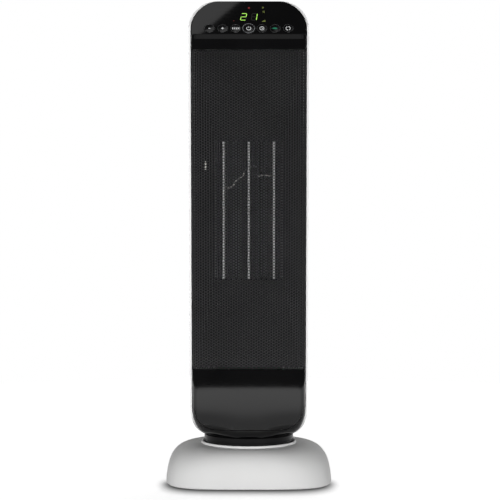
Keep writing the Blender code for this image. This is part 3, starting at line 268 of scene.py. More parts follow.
@dataclass(frozen=True)
class Plastic(Finish):
    """Moulded plastic: flow clouds, a spark-eroded grain, fine wipe marks, and scuffs low down."""

    colour: Colour
    roughness: float
    grain_scale: float = 1800.0
    grain_depth: float = 0.000012
    cloud: float = 0.05
    wipe: float = 0.05
    level: float = 0.5
    scuff_height: float = 0.0
    cloud_scale: float = 22.0
    wipe_scale: float = 90.0
    wipe_stretch: Place = (1.0, 1.0, 9.0)
    scuff_scale: float = 160.0
    scuff_share: float = 0.5
    scuff_shade: float = 0.7
    scuff_roughness: float = 0.4

    def paint(self, graph: ShaderGraph) -> None:
        """Lay the clouds, the marks, the scuffs and the grain.

        Args:
            graph: The material's tree.
        """
        cloud = graph.span(graph.noise(self.cloud_scale, 4.0), 0.0, 1.0)
        low, high = shade(self.colour, 1.0 - self.cloud), shade(self.colour, 1.0 + self.cloud)
        colour = graph.blend(cloud, low, high)
        marks = graph.noise(self.wipe_scale, 5.0, self.wipe_stretch)
        rough = graph.span(marks, self.roughness - self.wipe, self.roughness + self.wipe)
        if self.scuff_height:
            low_down = graph.remap(graph.part(graph.place, "Z"), 0.0, self.scuff_height, 1.0, 0.0)
            patches = graph.span(graph.noise(self.scuff_scale, 6.0), 0.0, self.scuff_share)
            scuff = graph.math("MULTIPLY", low_down, patches)
            colour = graph.blend(scuff, colour, shade(self.colour, self.scuff_shade))
            rough = graph.math("ADD", rough, graph.math("MULTIPLY", scuff, self.scuff_roughness))
        values = {"Base Color": colour, "Roughness": rough, "Specular IOR Level": self.level}
        graph.feed(graph.surface, values)
        graph.bump(graph.noise(self.grain_scale, 2.0), self.grain_depth)


@dataclass(frozen=True)
class Metal(Finish):
    """Bare or plated metal with drawn streaks, dull patches and a little tarnish."""

    colour: Colour
    roughness: float
    drawn: Place = (1.0, 1.0, 24.0)
    tarnish: float = 0.18
    depth: float = 0.00001
    patch_scale: float = 45.0
    streak_scale: float = 160.0
    clean: float = 1.06
    polish: Flat = (0.75, 1.3)

    def paint(self, graph: ShaderGraph) -> None:
        """Lay the patches and the streaks.

        Args:
            graph: The material's tree.
        """
        patch = graph.span(graph.noise(self.patch_scale, 5.0), 0.0, 1.0)
        dull = shade(self.colour, 1.0 - self.tarnish)
        colour = graph.blend(patch, dull, shade(self.colour, self.clean))
        streak = graph.noise(self.streak_scale, 4.0, self.drawn)
        rough = graph.span(streak, self.roughness * self.polish[0], self.roughness * self.polish[1])
        graph.feed(graph.surface, {"Base Color": colour, "Roughness": rough, "Metallic": 1.0})
        graph.bump(streak, self.depth)


@dataclass(frozen=True)
class Rubber(Finish):
    """Matt rubber with a fine pitted skin and patches of dust."""

    colour: Colour
    roughness: float = 0.78
    dust: Colour = (0.16, 0.15, 0.14)
    dust_share: float = 0.35
    dust_scale: float = 120.0
    pit_scale: float = 2600.0
    pit_depth: float = 0.00003

    def paint(self, graph: ShaderGraph) -> None:
        """Lay the dust and the pits.

        Args:
            graph: The material's tree.
        """
        dust = graph.span(graph.noise(self.dust_scale, 6.0), 0.0, self.dust_share)
        colour = graph.blend(dust, shade(self.colour), shade(self.dust))
        rough = graph.span(graph.noise(400.0), self.roughness - 0.08, self.roughness + 0.1)
        graph.feed(graph.surface, {"Base Color": colour, "Roughness": rough})
        graph.bump(graph.noise(self.pit_scale, 2.0), self.pit_depth)


@dataclass(frozen=True)
class CircuitBoard(Finish):
    """Green solder mask over copper tracks and round pads."""

    colour: Colour
    pitch: float = 260.0
    track_gap: float = 0.22
    track_width: float = 0.05
    track_shade: float = 2.1
    pad_pitch: float = 0.7
    pad_radius: float = 0.16
    pad_colour: Colour = (0.62, 0.62, 0.60)
    relief: float = 0.00004

    def paint(self, graph: ShaderGraph) -> None:
        """Lay the tracks and the pads.

        Args:
            graph: The material's tree.
        """
        values = {"Vector": graph.place, "Scale": self.pitch}
        track = graph.made("ShaderNodeTexVoronoi", values, distance="MANHATTAN")
        line = graph.math("LESS_THAN", graph.math("PINGPONG", track, self.track_gap), self.track_width)
        mask = graph.blend(line, shade(self.colour), shade(self.colour, self.track_shade))
        values = {"Vector": graph.place, "Scale": self.pitch * self.pad_pitch}
        pad = graph.made("ShaderNodeTexVoronoi", values)
        colour = graph.blend(graph.math("LESS_THAN", pad, self.pad_radius), mask, shade(self.pad_colour))
        rough = graph.span(graph.noise(300.0), 0.3, 0.5)
        graph.feed(graph.surface, {"Base Color": colour, "Roughness": rough})
        graph.bump(line, self.relief)


@dataclass(frozen=True)
class Glow(Finish):
    """A lit symbol behind a smoked window, a little uneven over its face."""

    colour: Colour
    strength: float
    uneven: Flat = (0.88, 1.08)
    unlit: float = 0.3

    def paint(self, graph: ShaderGraph) -> None:
        """Lay the uneven light.

        Args:
            graph: The material's tree.
        """
        uneven = graph.span(graph.noise(500.0), 0.0, 1.0)
        dim, bright = (shade(self.colour, factor) for factor in self.uneven)
        rough = graph.span(graph.noise(900.0), 0.25, 0.4)
        values = {
            "Base Color": shade(self.colour, self.unlit), "Roughness": rough,
            "Emission Color": graph.blend(uneven, dim, bright), "Emission Strength": self.strength,
        }
        graph.feed(graph.surface, values)


WHITE_SHELL = Plastic((0.93, 0.93, 0.925), 0.36, 1500.0, 0.000010, 0.012, 0.05)
# Painted shade: the base is the same white plastic as the shell, given a darker colour that stands in for
# shade
WHITE_BASE_PAINTED_SHADE = Plastic((0.68, 0.68, 0.676), 0.38, 1500.0, 0.000012, 0.015, 0.06, level=0.45, scuff_height=0.006)
GLOSS_BLACK = Plastic((0.0030, 0.0030, 0.0032), 0.036, 700.0, 0.0000003, 0.15, 0.01, level=0.55)
NECK_BLACK = Plastic((0.0035, 0.0035, 0.0037), 0.20, 900.0, 0.000002, 0.15, 0.05, level=0.22)
GRILLE_BLACK = Plastic((0.031, 0.031, 0.032), 0.34, 2200.0, 0.000008, 0.12, 0.06)
# Painted shade: the rim is the grille's own plastic, made darker to stand for the shadow gap round the net
RIM_PAINTED_SHADE_BLACK = Plastic((0.010, 0.010, 0.0105), 0.40, 2200.0, 0.000006, 0.12, 0.06)
INNER_BLACK = Plastic((0.004, 0.004, 0.0042), 0.55, 1600.0, 0.00002, 0.2, 0.08)
KEY_BLACK = Plastic((0.0045, 0.0045, 0.0048), 0.10, 1200.0, 0.000001, 0.1, 0.03)
SMOKED = Plastic((0.010, 0.010, 0.008), 0.08, 900.0, 0.000001, 0.1, 0.02)
NYLON = Plastic((0.70, 0.67, 0.58), 0.46, 900.0, 0.00002, 0.06, 0.08)
CERAMIC = Plastic((0.82, 0.80, 0.74), 0.60, 2600.0, 0.00002, 0.05, 0.08)
SLEEVE = Plastic((0.42, 0.41, 0.39), 0.62, 3000.0, 0.00005, 0.12, 0.08)
ALUMINIUM = Metal((0.78, 0.79, 0.80), 0.34, (1.0, 1.0, 0.08), 0.12)
# Painted sheen: the bare aluminium tubes as a light matt grey that stands in for their shine
TUBE_PAINTED_SHEEN = Plastic((0.68, 0.68, 0.676), 0.42, 2400.0, 0.00001, 0.06, 0.08)
FIN_METAL = Metal((0.42, 0.42, 0.43), 0.42, (1.0, 8.0, 1.0), 0.25)
STEEL = Metal((0.56, 0.57, 0.58), 0.36)
IRON = Metal((0.11, 0.11, 0.12), 0.62, (1.0, 1.0, 1.0), 0.35, 0.00006)
CHROME = Metal((0.46, 0.47, 0.49), 0.14, (1.0, 1.0, 1.0), 0.05, 0.000002)
RING_GREY = Metal((0.30, 0.30, 0.31), 0.28, (1.0, 1.0, 1.0), 0.1, 0.000003)
FOOT_RUBBER = Rubber((0.022, 0.022, 0.022))
CIRCUIT = CircuitBoard((0.012, 0.10, 0.045))
DIGIT_GREEN = Glow((0.42, 0.86, 0.12), 1.0)
ICON_WHITE = Glow((0.80, 0.82, 0.82), 0.60)
ICON_GREEN = Glow((0.015, 0.24, 0.13), 0.42)
LAMP_RED = Glow((0.26, 0.010, 0.010), 0.45)
LAMP_DIM = Glow((0.16, 0.012, 0.012), 0.4)
LAMP_GREEN = Glow((0.30, 0.36, 0.08), 0.5)
# Painted glow: the unlit segments glow faintly, as if catching light behind the window
GHOST = Glow((0.012, 0.014, 0.008), 0.15)

NODE_FINISHES = {
    INNER_BLACK: ("base_plate", "swivel_seat", "tip_switch_body", "heater_frame"),
    IRON: ("ballast_plate",),
    NYLON: ("slip_ring", "fixed_gear", "tip_switch_plunger", "swing_pinion"),
    STEEL: (
        "retaining_ring", "swing_motor", "blower_bottom_plate", "blower_top_plate", "scroll_wall",
        "tongue_wall", "fan_motor", "top_bearing", "fan_shaft",
    ),
    CIRCUIT: ("control_board", "power_board"),
    SMOKED: ("display_module",),
}


# Meshes
def show(name: str, data: bpy.types.ID) -> Object:
    """Put a mesh or curve in the scene.

    Args:
        name: The object's name.
        data: The mesh or curve.

    Returns:
        The object.
    """
    piece = bpy.data.objects.new(name, data)
    bpy.context.scene.collection.objects.link(piece)
    return piece


def mesh_piece(name: str, points: Iterable[Sequence[float]], faces: Iterable[Sequence[int]]) -> Object:
    """Make a mesh object.

    Args:
        name: Its name.
        points: Its points.
        faces: Its faces.

    Returns:
        The object.
    """
    mesh = bpy.data.meshes.new(name)
    mesh.from_pydata([tuple(point) for point in points], [], [tuple(face) for face in faces])
    return show(name, mesh)


def settle(mesh: Mesh, outwards: bool = False, angle: float = SMOOTH_ANGLE) -> Mesh:
    """Weld a mesh's doubles and shade it smooth between its edges.

    Args:
        mesh: The mesh.
        outwards: Whether its normals are worked out again.
        angle: How sharp an edge has to be to stay sharp.

    Returns:
        The same mesh.
    """
    shape = bmesh.new()
    shape.from_mesh(mesh)
    bmesh.ops.remove_doubles(shape, verts=shape.verts, dist=WELD)
    bmesh.ops.dissolve_degenerate(shape, edges=shape.edges, dist=WELD)
    if outwards:
        bmesh.ops.recalc_face_normals(shape, faces=shape.faces)
    shape.to_mesh(mesh)
    shape.free()
    mesh.shade_smooth()
    mesh.set_sharp_from_angle(angle=angle)
    return mesh


def evaluated_mesh(piece: Object) -> Mesh:
    """Copy an object as its modifiers leave it.

    Args:
        piece: The object.

    Returns:
        A plain mesh in world space.
    """
    bpy.context.view_layer.update()
    evaluated = piece.evaluated_get(bpy.context.evaluated_depsgraph_get())
    mesh = bpy.data.meshes.new_from_object(evaluated)
    mesh.transform(piece.matrix_world)
    return mesh


def bake(piece: Object, *tools: Object, outwards: bool = False, angle: float = SMOOTH_ANGLE) -> Object:
    """Turn a piece with live modifiers into a plain mesh at the origin, and remove its tools.

    Args:
        piece: The piece.
        *tools: Objects that its modifiers read.
        outwards: Whether its normals are worked out again.
        angle: How sharp an edge has to be to stay sharp.

    Returns:
        The new object, which has the piece's name.
    """
    mesh = settle(evaluated_mesh(piece), outwards, angle)
    name = piece.name
    for old in (piece, *tools):
        bpy.data.objects.remove(old)
    made = show(name, mesh)
    if len(mesh.polygons) < WEIGHED_FACES:
        shading = made.modifiers.new("shading", "WEIGHTED_NORMAL")
        shading.keep_sharp = True
        made.data = evaluated_mesh(made)
        made.modifiers.clear()
        bpy.data.meshes.remove(mesh)
    made.data.name = name
    return made


def moved(piece: Object, plane: Matrix, angle: float = SMOOTH_ANGLE) -> Object:
    """Bake a piece at a plane's place, in place of the world's own."""
    piece.matrix_world = plane
    return bake(piece, angle=angle)


def loft(
    name: str, rows: Sequence[Sequence[Place]], closed: bool,
    floor: bool = False, roof: bool = False, flat: int = 1,
) -> Object:
    """Skin rows of points from the bottom up.

    Args:
        name: Its name.
        rows: The rows, each with as many points.
        closed: Whether each row runs round.
        floor: Whether the lowest row is filled, an open one between its mirrored points.
        roof: Whether the highest row is filled in the same way.
        flat: How many points of an open row lie on one line each side of the middle.

    Returns:
        The object.
    """
    count = len(rows[0])
    last = (len(rows) - 1) * count
    faces: list[Face] = []
    for low in range(0, last, count):
        high = low + count
        for index in range(count if closed else count - 1):
            after = (index + 1) % count
            quad = (low + index, low + after, high + after, high + index)
            faces.append(quad if closed else (quad[0], *quad[:0:-1]))
    if closed:
        strips: list[Face] = [tuple(reversed(range(count)))]
    else:
        inner = count // 2 - flat - 1
        strips = [(near, near + 1, count - 2 - near, count - 1 - near) for near in range(inner)]
        strips.append(tuple(range(inner, count // 2 + flat + 1)))
    if floor:
        faces.extend(strips)
    if roof:
        faces.extend(tuple(last + corner for corner in reversed(strip)) for strip in strips)
    return mesh_piece(name, [point for row in rows for point in row], faces)


def lathe(name: str, profile: Sequence[Flat], steps: int = 64, centre: Place = ORIGIN) -> Object:
    """Turn (radius, height) points about Z into a closed solid.

    Args:
        name: Its name.
        profile: The points, down the outside from the top; on-axis ends close by themselves.
        steps: How many faces go round.
        centre: A point on the axis.

    Returns:
        The object.
    """
    points = []
    for step in range(steps):
        turn = math.tau * step / steps
        x, y = math.cos(turn), math.sin(turn)
        points += [(centre[0] + radius * x, centre[1] + radius * y, centre[2] + z) for radius, z in profile]
    count = len(profile)
    faces = []
    for step in range(steps):
        here = step * count
        there = (step + 1) % steps * count
        for index in range(count):
            after = (index + 1) % count
            if profile[index][0] > 0.0 or profile[after][0] > 0.0:
                faces.append((here + index, here + after, there + after, there + index))
    piece = mesh_piece(name, points, faces)
    settle(piece.data, outwards=True)
    return piece


def drill(name: str, radius: float, low: float, high: float, steps: int, centre: Place = ORIGIN) -> Object:
    """The round tool that cuts a hole along Z between two heights."""
    return lathe(name, [(0.0, high), (radius, high), (radius, low), (0.0, low)], steps, centre)


def arc(centre: Flat, radii: Flat, start: float, end: float, steps: int) -> list[Flat]:
    """Points on an arc of an ellipse, by its centre, radii, first and last angle and chords."""
    turns = [start + (end - start) * step / steps for step in range(steps + 1)]
    return [(centre[0] + radii[0] * math.cos(turn), centre[1] + radii[1] * math.sin(turn)) for turn in turns]


def ring(centre: Flat, radii: Flat, steps: int) -> list[Flat]:
    """Points all round an ellipse, anticlockwise."""
    return arc(centre, radii, 0.0, math.tau, steps)[:-1]


def with_mirror(right: Sequence[Flat]) -> list[Flat]:
    """The right half of an outline, and then its mirror image back to the start."""
    return [*right, *[(-x, y) for x, y in right[::-1]]]


def rounded_rectangle(half: Flat, radius: float, centre: Flat = (0.0, 0.0), steps: int = 8) -> list[Flat]:
    """A rectangle's outline with round corners.

    Args:
        half: Half its width and half its height.
        radius: Its corners' radius.
        centre: Its centre.
        steps: How many chords a corner has.

    Returns:
        The outline, anticlockwise.
    """
    outline = []
    for quarter, (side_x, side_y) in enumerate(((1, 1), (-1, 1), (-1, -1), (1, -1))):
        corner = (centre[0] + side_x * (half[0] - radius), centre[1] + side_y * (half[1] - radius))
        start = quarter * math.pi / 2
        outline.extend(arc(corner, (radius, radius), start, start + math.pi / 2, steps))
    return outline


def sheet(
    name: str, outlines: Sequence[Sequence[Flat]], low: float, high: float, plane: Matrix, edge: float = 0.0
) -> Object:
    """A flat plate with holes and rounded edges.

    Args:
        name: Its name.
        outlines: The outline, then the holes.
        low: Its lower face above the plane.
        high: Its upper face above the plane.
        plane: The plane's place.
        edge: The edges' radius.

    Returns:
        The object, baked.
    """
    curve = bpy.data.curves.new(name, "CURVE")
    curve.dimensions = "2D"
    curve.fill_mode = "BOTH"
    curve.extrude = (high - low) / 2 - edge
    curve.bevel_depth = edge
    curve.bevel_resolution = 2
    curve.offset = -edge
    for outline in outlines:
        spline = curve.splines.new("POLY")
        spline.points.add(len(outline) - 1)
        for point, (x, y) in zip(spline.points, outline):
            point.co = (x, y, 0.0, 1.0)
        spline.use_cyclic_u = True
    middle = Matrix.Translation((0.0, 0.0, (low + high) / 2))
    return moved(show(name, curve), plane @ middle, SHEET_ANGLE)


def ribbon(line: Sequence[Flat], width: float, closed: bool = False) -> Stroke:
    """A flat stroke of even width along a line.

    Args:
        line: The line's points.
        width: The stroke's width.
        closed: Whether the line runs round.

    Returns:
        Its points and its faces.
    """
    count = len(line)
    points: list[Flat] = []
    for index, (x, y) in enumerate(line):
        before = line[index - 1] if closed or index else line[index]
        after = line[(index + 1) % count] if closed or index < count - 1 else line[index]
        run = math.hypot(after[0] - before[0], after[1] - before[1])
        side = ((before[1] - after[1]) / run * width / 2, (after[0] - before[0]) / run * width / 2)
        points += [(x + side[0], y + side[1]), (x - side[0], y - side[1])]
    faces = []
    for index in range(count if closed else count - 1):
        here, there = 2 * index, 2 * ((index + 1) % count)
        faces.append((here, here + 1, there + 1, there))
    return points, faces


def filled(outline: Sequence[Flat]) -> Stroke:
    """A stroke that fills an outline."""
    return list(outline), [tuple(range(len(outline)))]


def emboss(name: str, strokes: Sequence[Stroke], plane: Matrix, thickness: float) -> Object:
    """Flat strokes as thin solids on a plane.

    Args:
        name: Its name.
        strokes: Points and faces in the plane.
        plane: The plane's place.
        thickness: How far they stand up.

    Returns:
        The object, baked.
    """
    points: list[Place] = []
    faces: list[Face] = []
    for flat_points, flat_faces in strokes:
        start = len(points)
        points.extend((x, y, 0.0) for x, y in flat_points)
        faces.extend(tuple(start + corner for corner in face) for face in flat_faces)
    piece = mesh_piece(name, points, faces)
    settle(piece.data, outwards=True)
    for polygon in piece.data.polygons:
        if polygon.normal.z < 0.0:
            polygon.flip()
    thicken(piece, thickness, 1.0, even=False)
    return moved(piece, plane)


def cut(piece: Object, tool: Object, operation: str = "DIFFERENCE") -> Object:
    """Cut a piece with a tool, or keep what lies in it.

    Args:
        piece: The piece.
        tool: The tool.
        operation: The Boolean operation.

    Returns:
        The tool, which bake removes.
    """
    modifier = piece.modifiers.new(tool.name, "BOOLEAN")
    modifier.operation = operation
    modifier.solver = "EXACT"
    modifier.object = tool
    return tool


def thicken(piece: Object, wall: float, offset: float = -1.0, even: bool = True) -> None:
    """Give a skin its wall.

    Args:
        piece: The skin.
        wall: The wall's thickness.
        offset: -1 for a wall behind the skin, 1 for one before it, 0 for both.
        even: Whether the wall keeps its thickness at bends.
    """
    modifier = piece.modifiers.new("wall", "SOLIDIFY")
    modifier.thickness = wall
    modifier.offset = offset
    modifier.use_even_offset = even


def round_edges(piece: Object, width: float, angle: float = 50.0, segments: int = 3) -> None:
    """Round a piece's sharp edges.

    Args:
        piece: The piece.
        width: How far the rounding reaches.
        angle: How many degrees an edge has to turn to be rounded.
        segments: How many faces a rounding has.
    """
    modifier = piece.modifiers.new("edges", "BEVEL")
    modifier.width = width
    modifier.segments = segments
    modifier.limit_method = "ANGLE"
    modifier.angle_limit = math.radians(angle)


def block(name: str, low: Place, high: Place, edge: float = 0.0) -> Object:
    """A block with rounded edges, as a tool or as the start of a piece.

    Args:
        name: Its name.
        low: Its lowest corner.
        high: Its highest corner.
        edge: Its edges' radius.

    Returns:
        The object.
    """
    corners = [(x, y, z) for z in (low[2], high[2]) for y in (low[1], high[1]) for x in (low[0], high[0])]
    faces = [(0, 2, 3, 1), (4, 5, 7, 6), (0, 1, 5, 4), (2, 6, 7, 3), (0, 4, 6, 2), (1, 3, 7, 5)]
    piece = mesh_piece(name, corners, faces)
    if edge:
        round_edges(piece, edge)
    return piece


def facing_front(y: float, z: float = 0.0) -> Matrix:
    """The plane in X and Z at a depth and a height, whose normal points to the front."""
    return Facing.FRONT.at((0.0, y, z))


# Geometry Nodes
class GeometryGraph(NodeGraph):
    """A Geometry Nodes tree with named inputs, and its run on one object."""

    def __init__(self, name: str) -> None:
        """Start a tree.

        Args:
            name: Its name.
        """
        super().__init__(bpy.data.node_groups.new(name, "GeometryNodeTree"))
        for way in ("INPUT", "OUTPUT"):
            self.tree.interface.new_socket("Geometry", in_out=way, socket_type="NodeSocketGeometry")
        self.source = self.add("NodeGroupInput")

    @property
    def start(self) -> NodeSocket:
        """The geometry that the tree starts from."""
        return self.source.outputs["Geometry"]

    def input(self, name: str, kind: str) -> NodeSocket:
        """Add a named input of a kind, such as Float, and give its socket in the tree."""
        self.tree.interface.new_socket(name, in_out="INPUT", socket_type=f"NodeSocket{kind}")
        return self.source.outputs[name]

    def end(self, geometry: NodeSocket) -> None:
        """Close the tree with Realize Instances and Set Material.

        Args:
            geometry: What the tree has made.
        """
        real = self.made("GeometryNodeRealizeInstances", {"Geometry": geometry})
        values = {"Geometry": real, "Material": self.input("Material", "Material")}
        self.add("NodeGroupOutput", {"Geometry": self.made("GeometryNodeSetMaterial", values)})

    def run(self, piece: Object, values: dict[str, Any]) -> Object:
        """Add the tree to a piece and set its inputs.

        Args:
            piece: The piece that it starts from.
            values: The inputs by name.

        Returns:
            The same piece, with the modifier live.
        """
        modifier = piece.modifiers.new(self.tree.name, "NODES")
        modifier.node_group = self.tree
        for item in self.tree.interface.items_tree:
            if item.item_type == "SOCKET" and item.in_out == "INPUT" and item.name in values:
                modifier[item.identifier] = values[item.name]
        return piece


def repeat_graph() -> GeometryGraph:
    """The tree that repeats a shape along one line and then along a second.

    Returns:
        The tree, with inputs First Count, First Step, Second Count, Second Step and Material.
    """
    graph = GeometryGraph("repeat_on_two_lines")
    shape = graph.start
    for word in ("First", "Second"):
        count, step = graph.input(f"{word} Count", "Int"), graph.input(f"{word} Step", "Vector")
        line = graph.made("GeometryNodeMeshLine", {"Count": count, "Offset": step}, mode="OFFSET")
        copies = graph.made("GeometryNodeInstanceOnPoints", {"Points": line, "Instance": shape})
        shape = graph.made("GeometryNodeRealizeInstances", {"Geometry": copies})
    graph.end(shape)
    return graph


def around_graph() -> GeometryGraph:
    """The tree that repeats a shape round the Z axis.

    Returns:
        The tree, with inputs Count and Material.
    """
    graph = GeometryGraph("repeat_round_axis")
    count = graph.input("Count", "Int")
    line = graph.made("GeometryNodeMeshLine", {"Count": count, "Offset": ORIGIN}, mode="OFFSET")
    index = graph.made("GeometryNodeInputIndex")
    turn = graph.math("MULTIPLY", index, graph.math("DIVIDE", math.tau, count))
    values = {"Points": line, "Instance": graph.start, "Rotation": graph.vector(Z=turn)}
    graph.end(graph.made("GeometryNodeInstanceOnPoints", values))
    return graph


def sweep_graph() -> GeometryGraph:
    """The tree that sweeps a round section along a curve.

    Returns:
        The tree, with inputs Radius, Sides and Material.
    """
    graph = GeometryGraph("sweep_round_section")
    values = {"Radius": graph.input("Radius", "Float"), "Resolution": graph.input("Sides", "Int")}
    section = graph.made("GeometryNodeCurvePrimitiveCircle", values)
    values = {"Curve": graph.start, "Profile Curve": section, "Fill Caps": True}
    graph.end(graph.made("GeometryNodeCurveToMesh", values))
    return graph


def honeycomb_graph() -> GeometryGraph:
    """The tree that lays a honeycomb net over a surface with a UV map named cells.

    Returns:
        The tree, with inputs Columns, Rows, Pitch X, Pitch Y, Width, Height, Open Share and Material.
    """
    graph = GeometryGraph("honeycomb_net")
    columns, rows = (graph.input(name, "Int") for name in ("Columns", "Rows"))
    names = ("Pitch X", "Pitch Y", "Width", "Height", "Open Share")
    pitch_x, pitch_y, width, height, open_share = (graph.input(name, "Float") for name in names)
    size_x = graph.math("MULTIPLY", graph.math("SUBTRACT", columns, 1.0), pitch_x)
    size_y = graph.math("MULTIPLY", graph.math("SUBTRACT", rows, 1.0), pitch_y)
    values = {"Size X": size_x, "Size Y": size_y, "Vertices X": columns, "Vertices Y": rows}
    grid = graph.made("GeometryNodeMeshGrid", values)

    # Every second column of points goes up by half a cell
    place = graph.made("GeometryNodeInputPosition")
    from_left = graph.math("ADD", graph.part(place, "X"), graph.math("MULTIPLY", size_x, 0.5))
    odd = graph.math("MODULO", graph.math("ROUND", graph.math("DIVIDE", from_left, pitch_x)), 2.0)
    lift = graph.math("MULTIPLY", graph.math("SUBTRACT", odd, 0.5), graph.math("MULTIPLY", pitch_y, 0.5))
    staggered = graph.made("GeometryNodeSetPosition", {"Geometry": grid, "Offset": graph.vector(Y=lift)})
    thirds = graph.made("GeometryNodeTriangulate", {"Mesh": staggered}, quad_method="SHORTEST_DIAGONAL")
    cells = graph.made("GeometryNodeDualMesh", {"Mesh": thirds})

    # Each cell keeps a rim, and its middle goes
    values = {"Mesh": cells, "Offset Scale": 0.0, "Individual": True}
    inset = graph.add("GeometryNodeExtrudeMesh", values, mode="FACES")
    top = inset.outputs["Top"]
    values = {"Geometry": inset.outputs["Mesh"], "Selection": top, "Scale": open_share}
    small = graph.made("GeometryNodeScaleElements", values, domain="FACE")
    values = {"Geometry": small, "Selection": top}
    net = graph.made("GeometryNodeDeleteGeometry", values, domain="FACE", mode="ONLY_FACE")

    # The flat net goes where the surface's UV map has the same place
    u, v = (
        graph.math("ADD", graph.math("DIVIDE", graph.part(place, axis), size), 0.5)
        for axis, size in (("X", width), ("Y", height))
    )
    kind = "FLOAT_VECTOR"
    values = {
        "Mesh": graph.start, "Value": place, "Sample UV": graph.vector(X=u, Y=v),
        "Source UV Map": graph.made("GeometryNodeInputNamedAttribute", {"Name": "cells"}, data_type=kind),
    }
    found = graph.made("GeometryNodeSampleUVSurface", values, data_type=kind)
    graph.end(graph.made("GeometryNodeSetPosition", {"Geometry": net, "Position": found}))
    return graph


REPEAT = repeat_graph()
AROUND = around_graph()
SWEEP = sweep_graph()
HONEYCOMB = honeycomb_graph()


def repeat(piece: Object, first: tuple[int, Place], second: tuple[int, Place] = (1, ORIGIN)) -> Object:
    """Repeat a piece along one or two lines, each given as a count and a step, and bake it."""
    names = ("First Count", "First Step", "Second Count", "Second Step")
    return bake(REPEAT.run(piece, dict(zip(names, (*first, *second)))))


# What all sub-assemblies share
@dataclass
class SubAssembly:
    """A group of pieces that is built and dressed together."""

    body: Body = Body.TOWER

    def dress(self, piece: Object, finish: Finish, slot: Slot, *nodes: str, body: str | None = None) -> None:
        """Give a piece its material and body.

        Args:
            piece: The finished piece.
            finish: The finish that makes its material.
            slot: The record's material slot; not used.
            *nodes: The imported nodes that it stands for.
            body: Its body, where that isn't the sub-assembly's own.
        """
        body = body or self.body.value
        piece.data.materials.clear()
        piece.data.materials.append(finish.material(f"{piece.name}_finish"))
        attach(piece, body)
        if nodes:
            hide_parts(*nodes)
        LOG.info("%s: %d faces on %s", piece.name, len(piece.data.polygons), body)


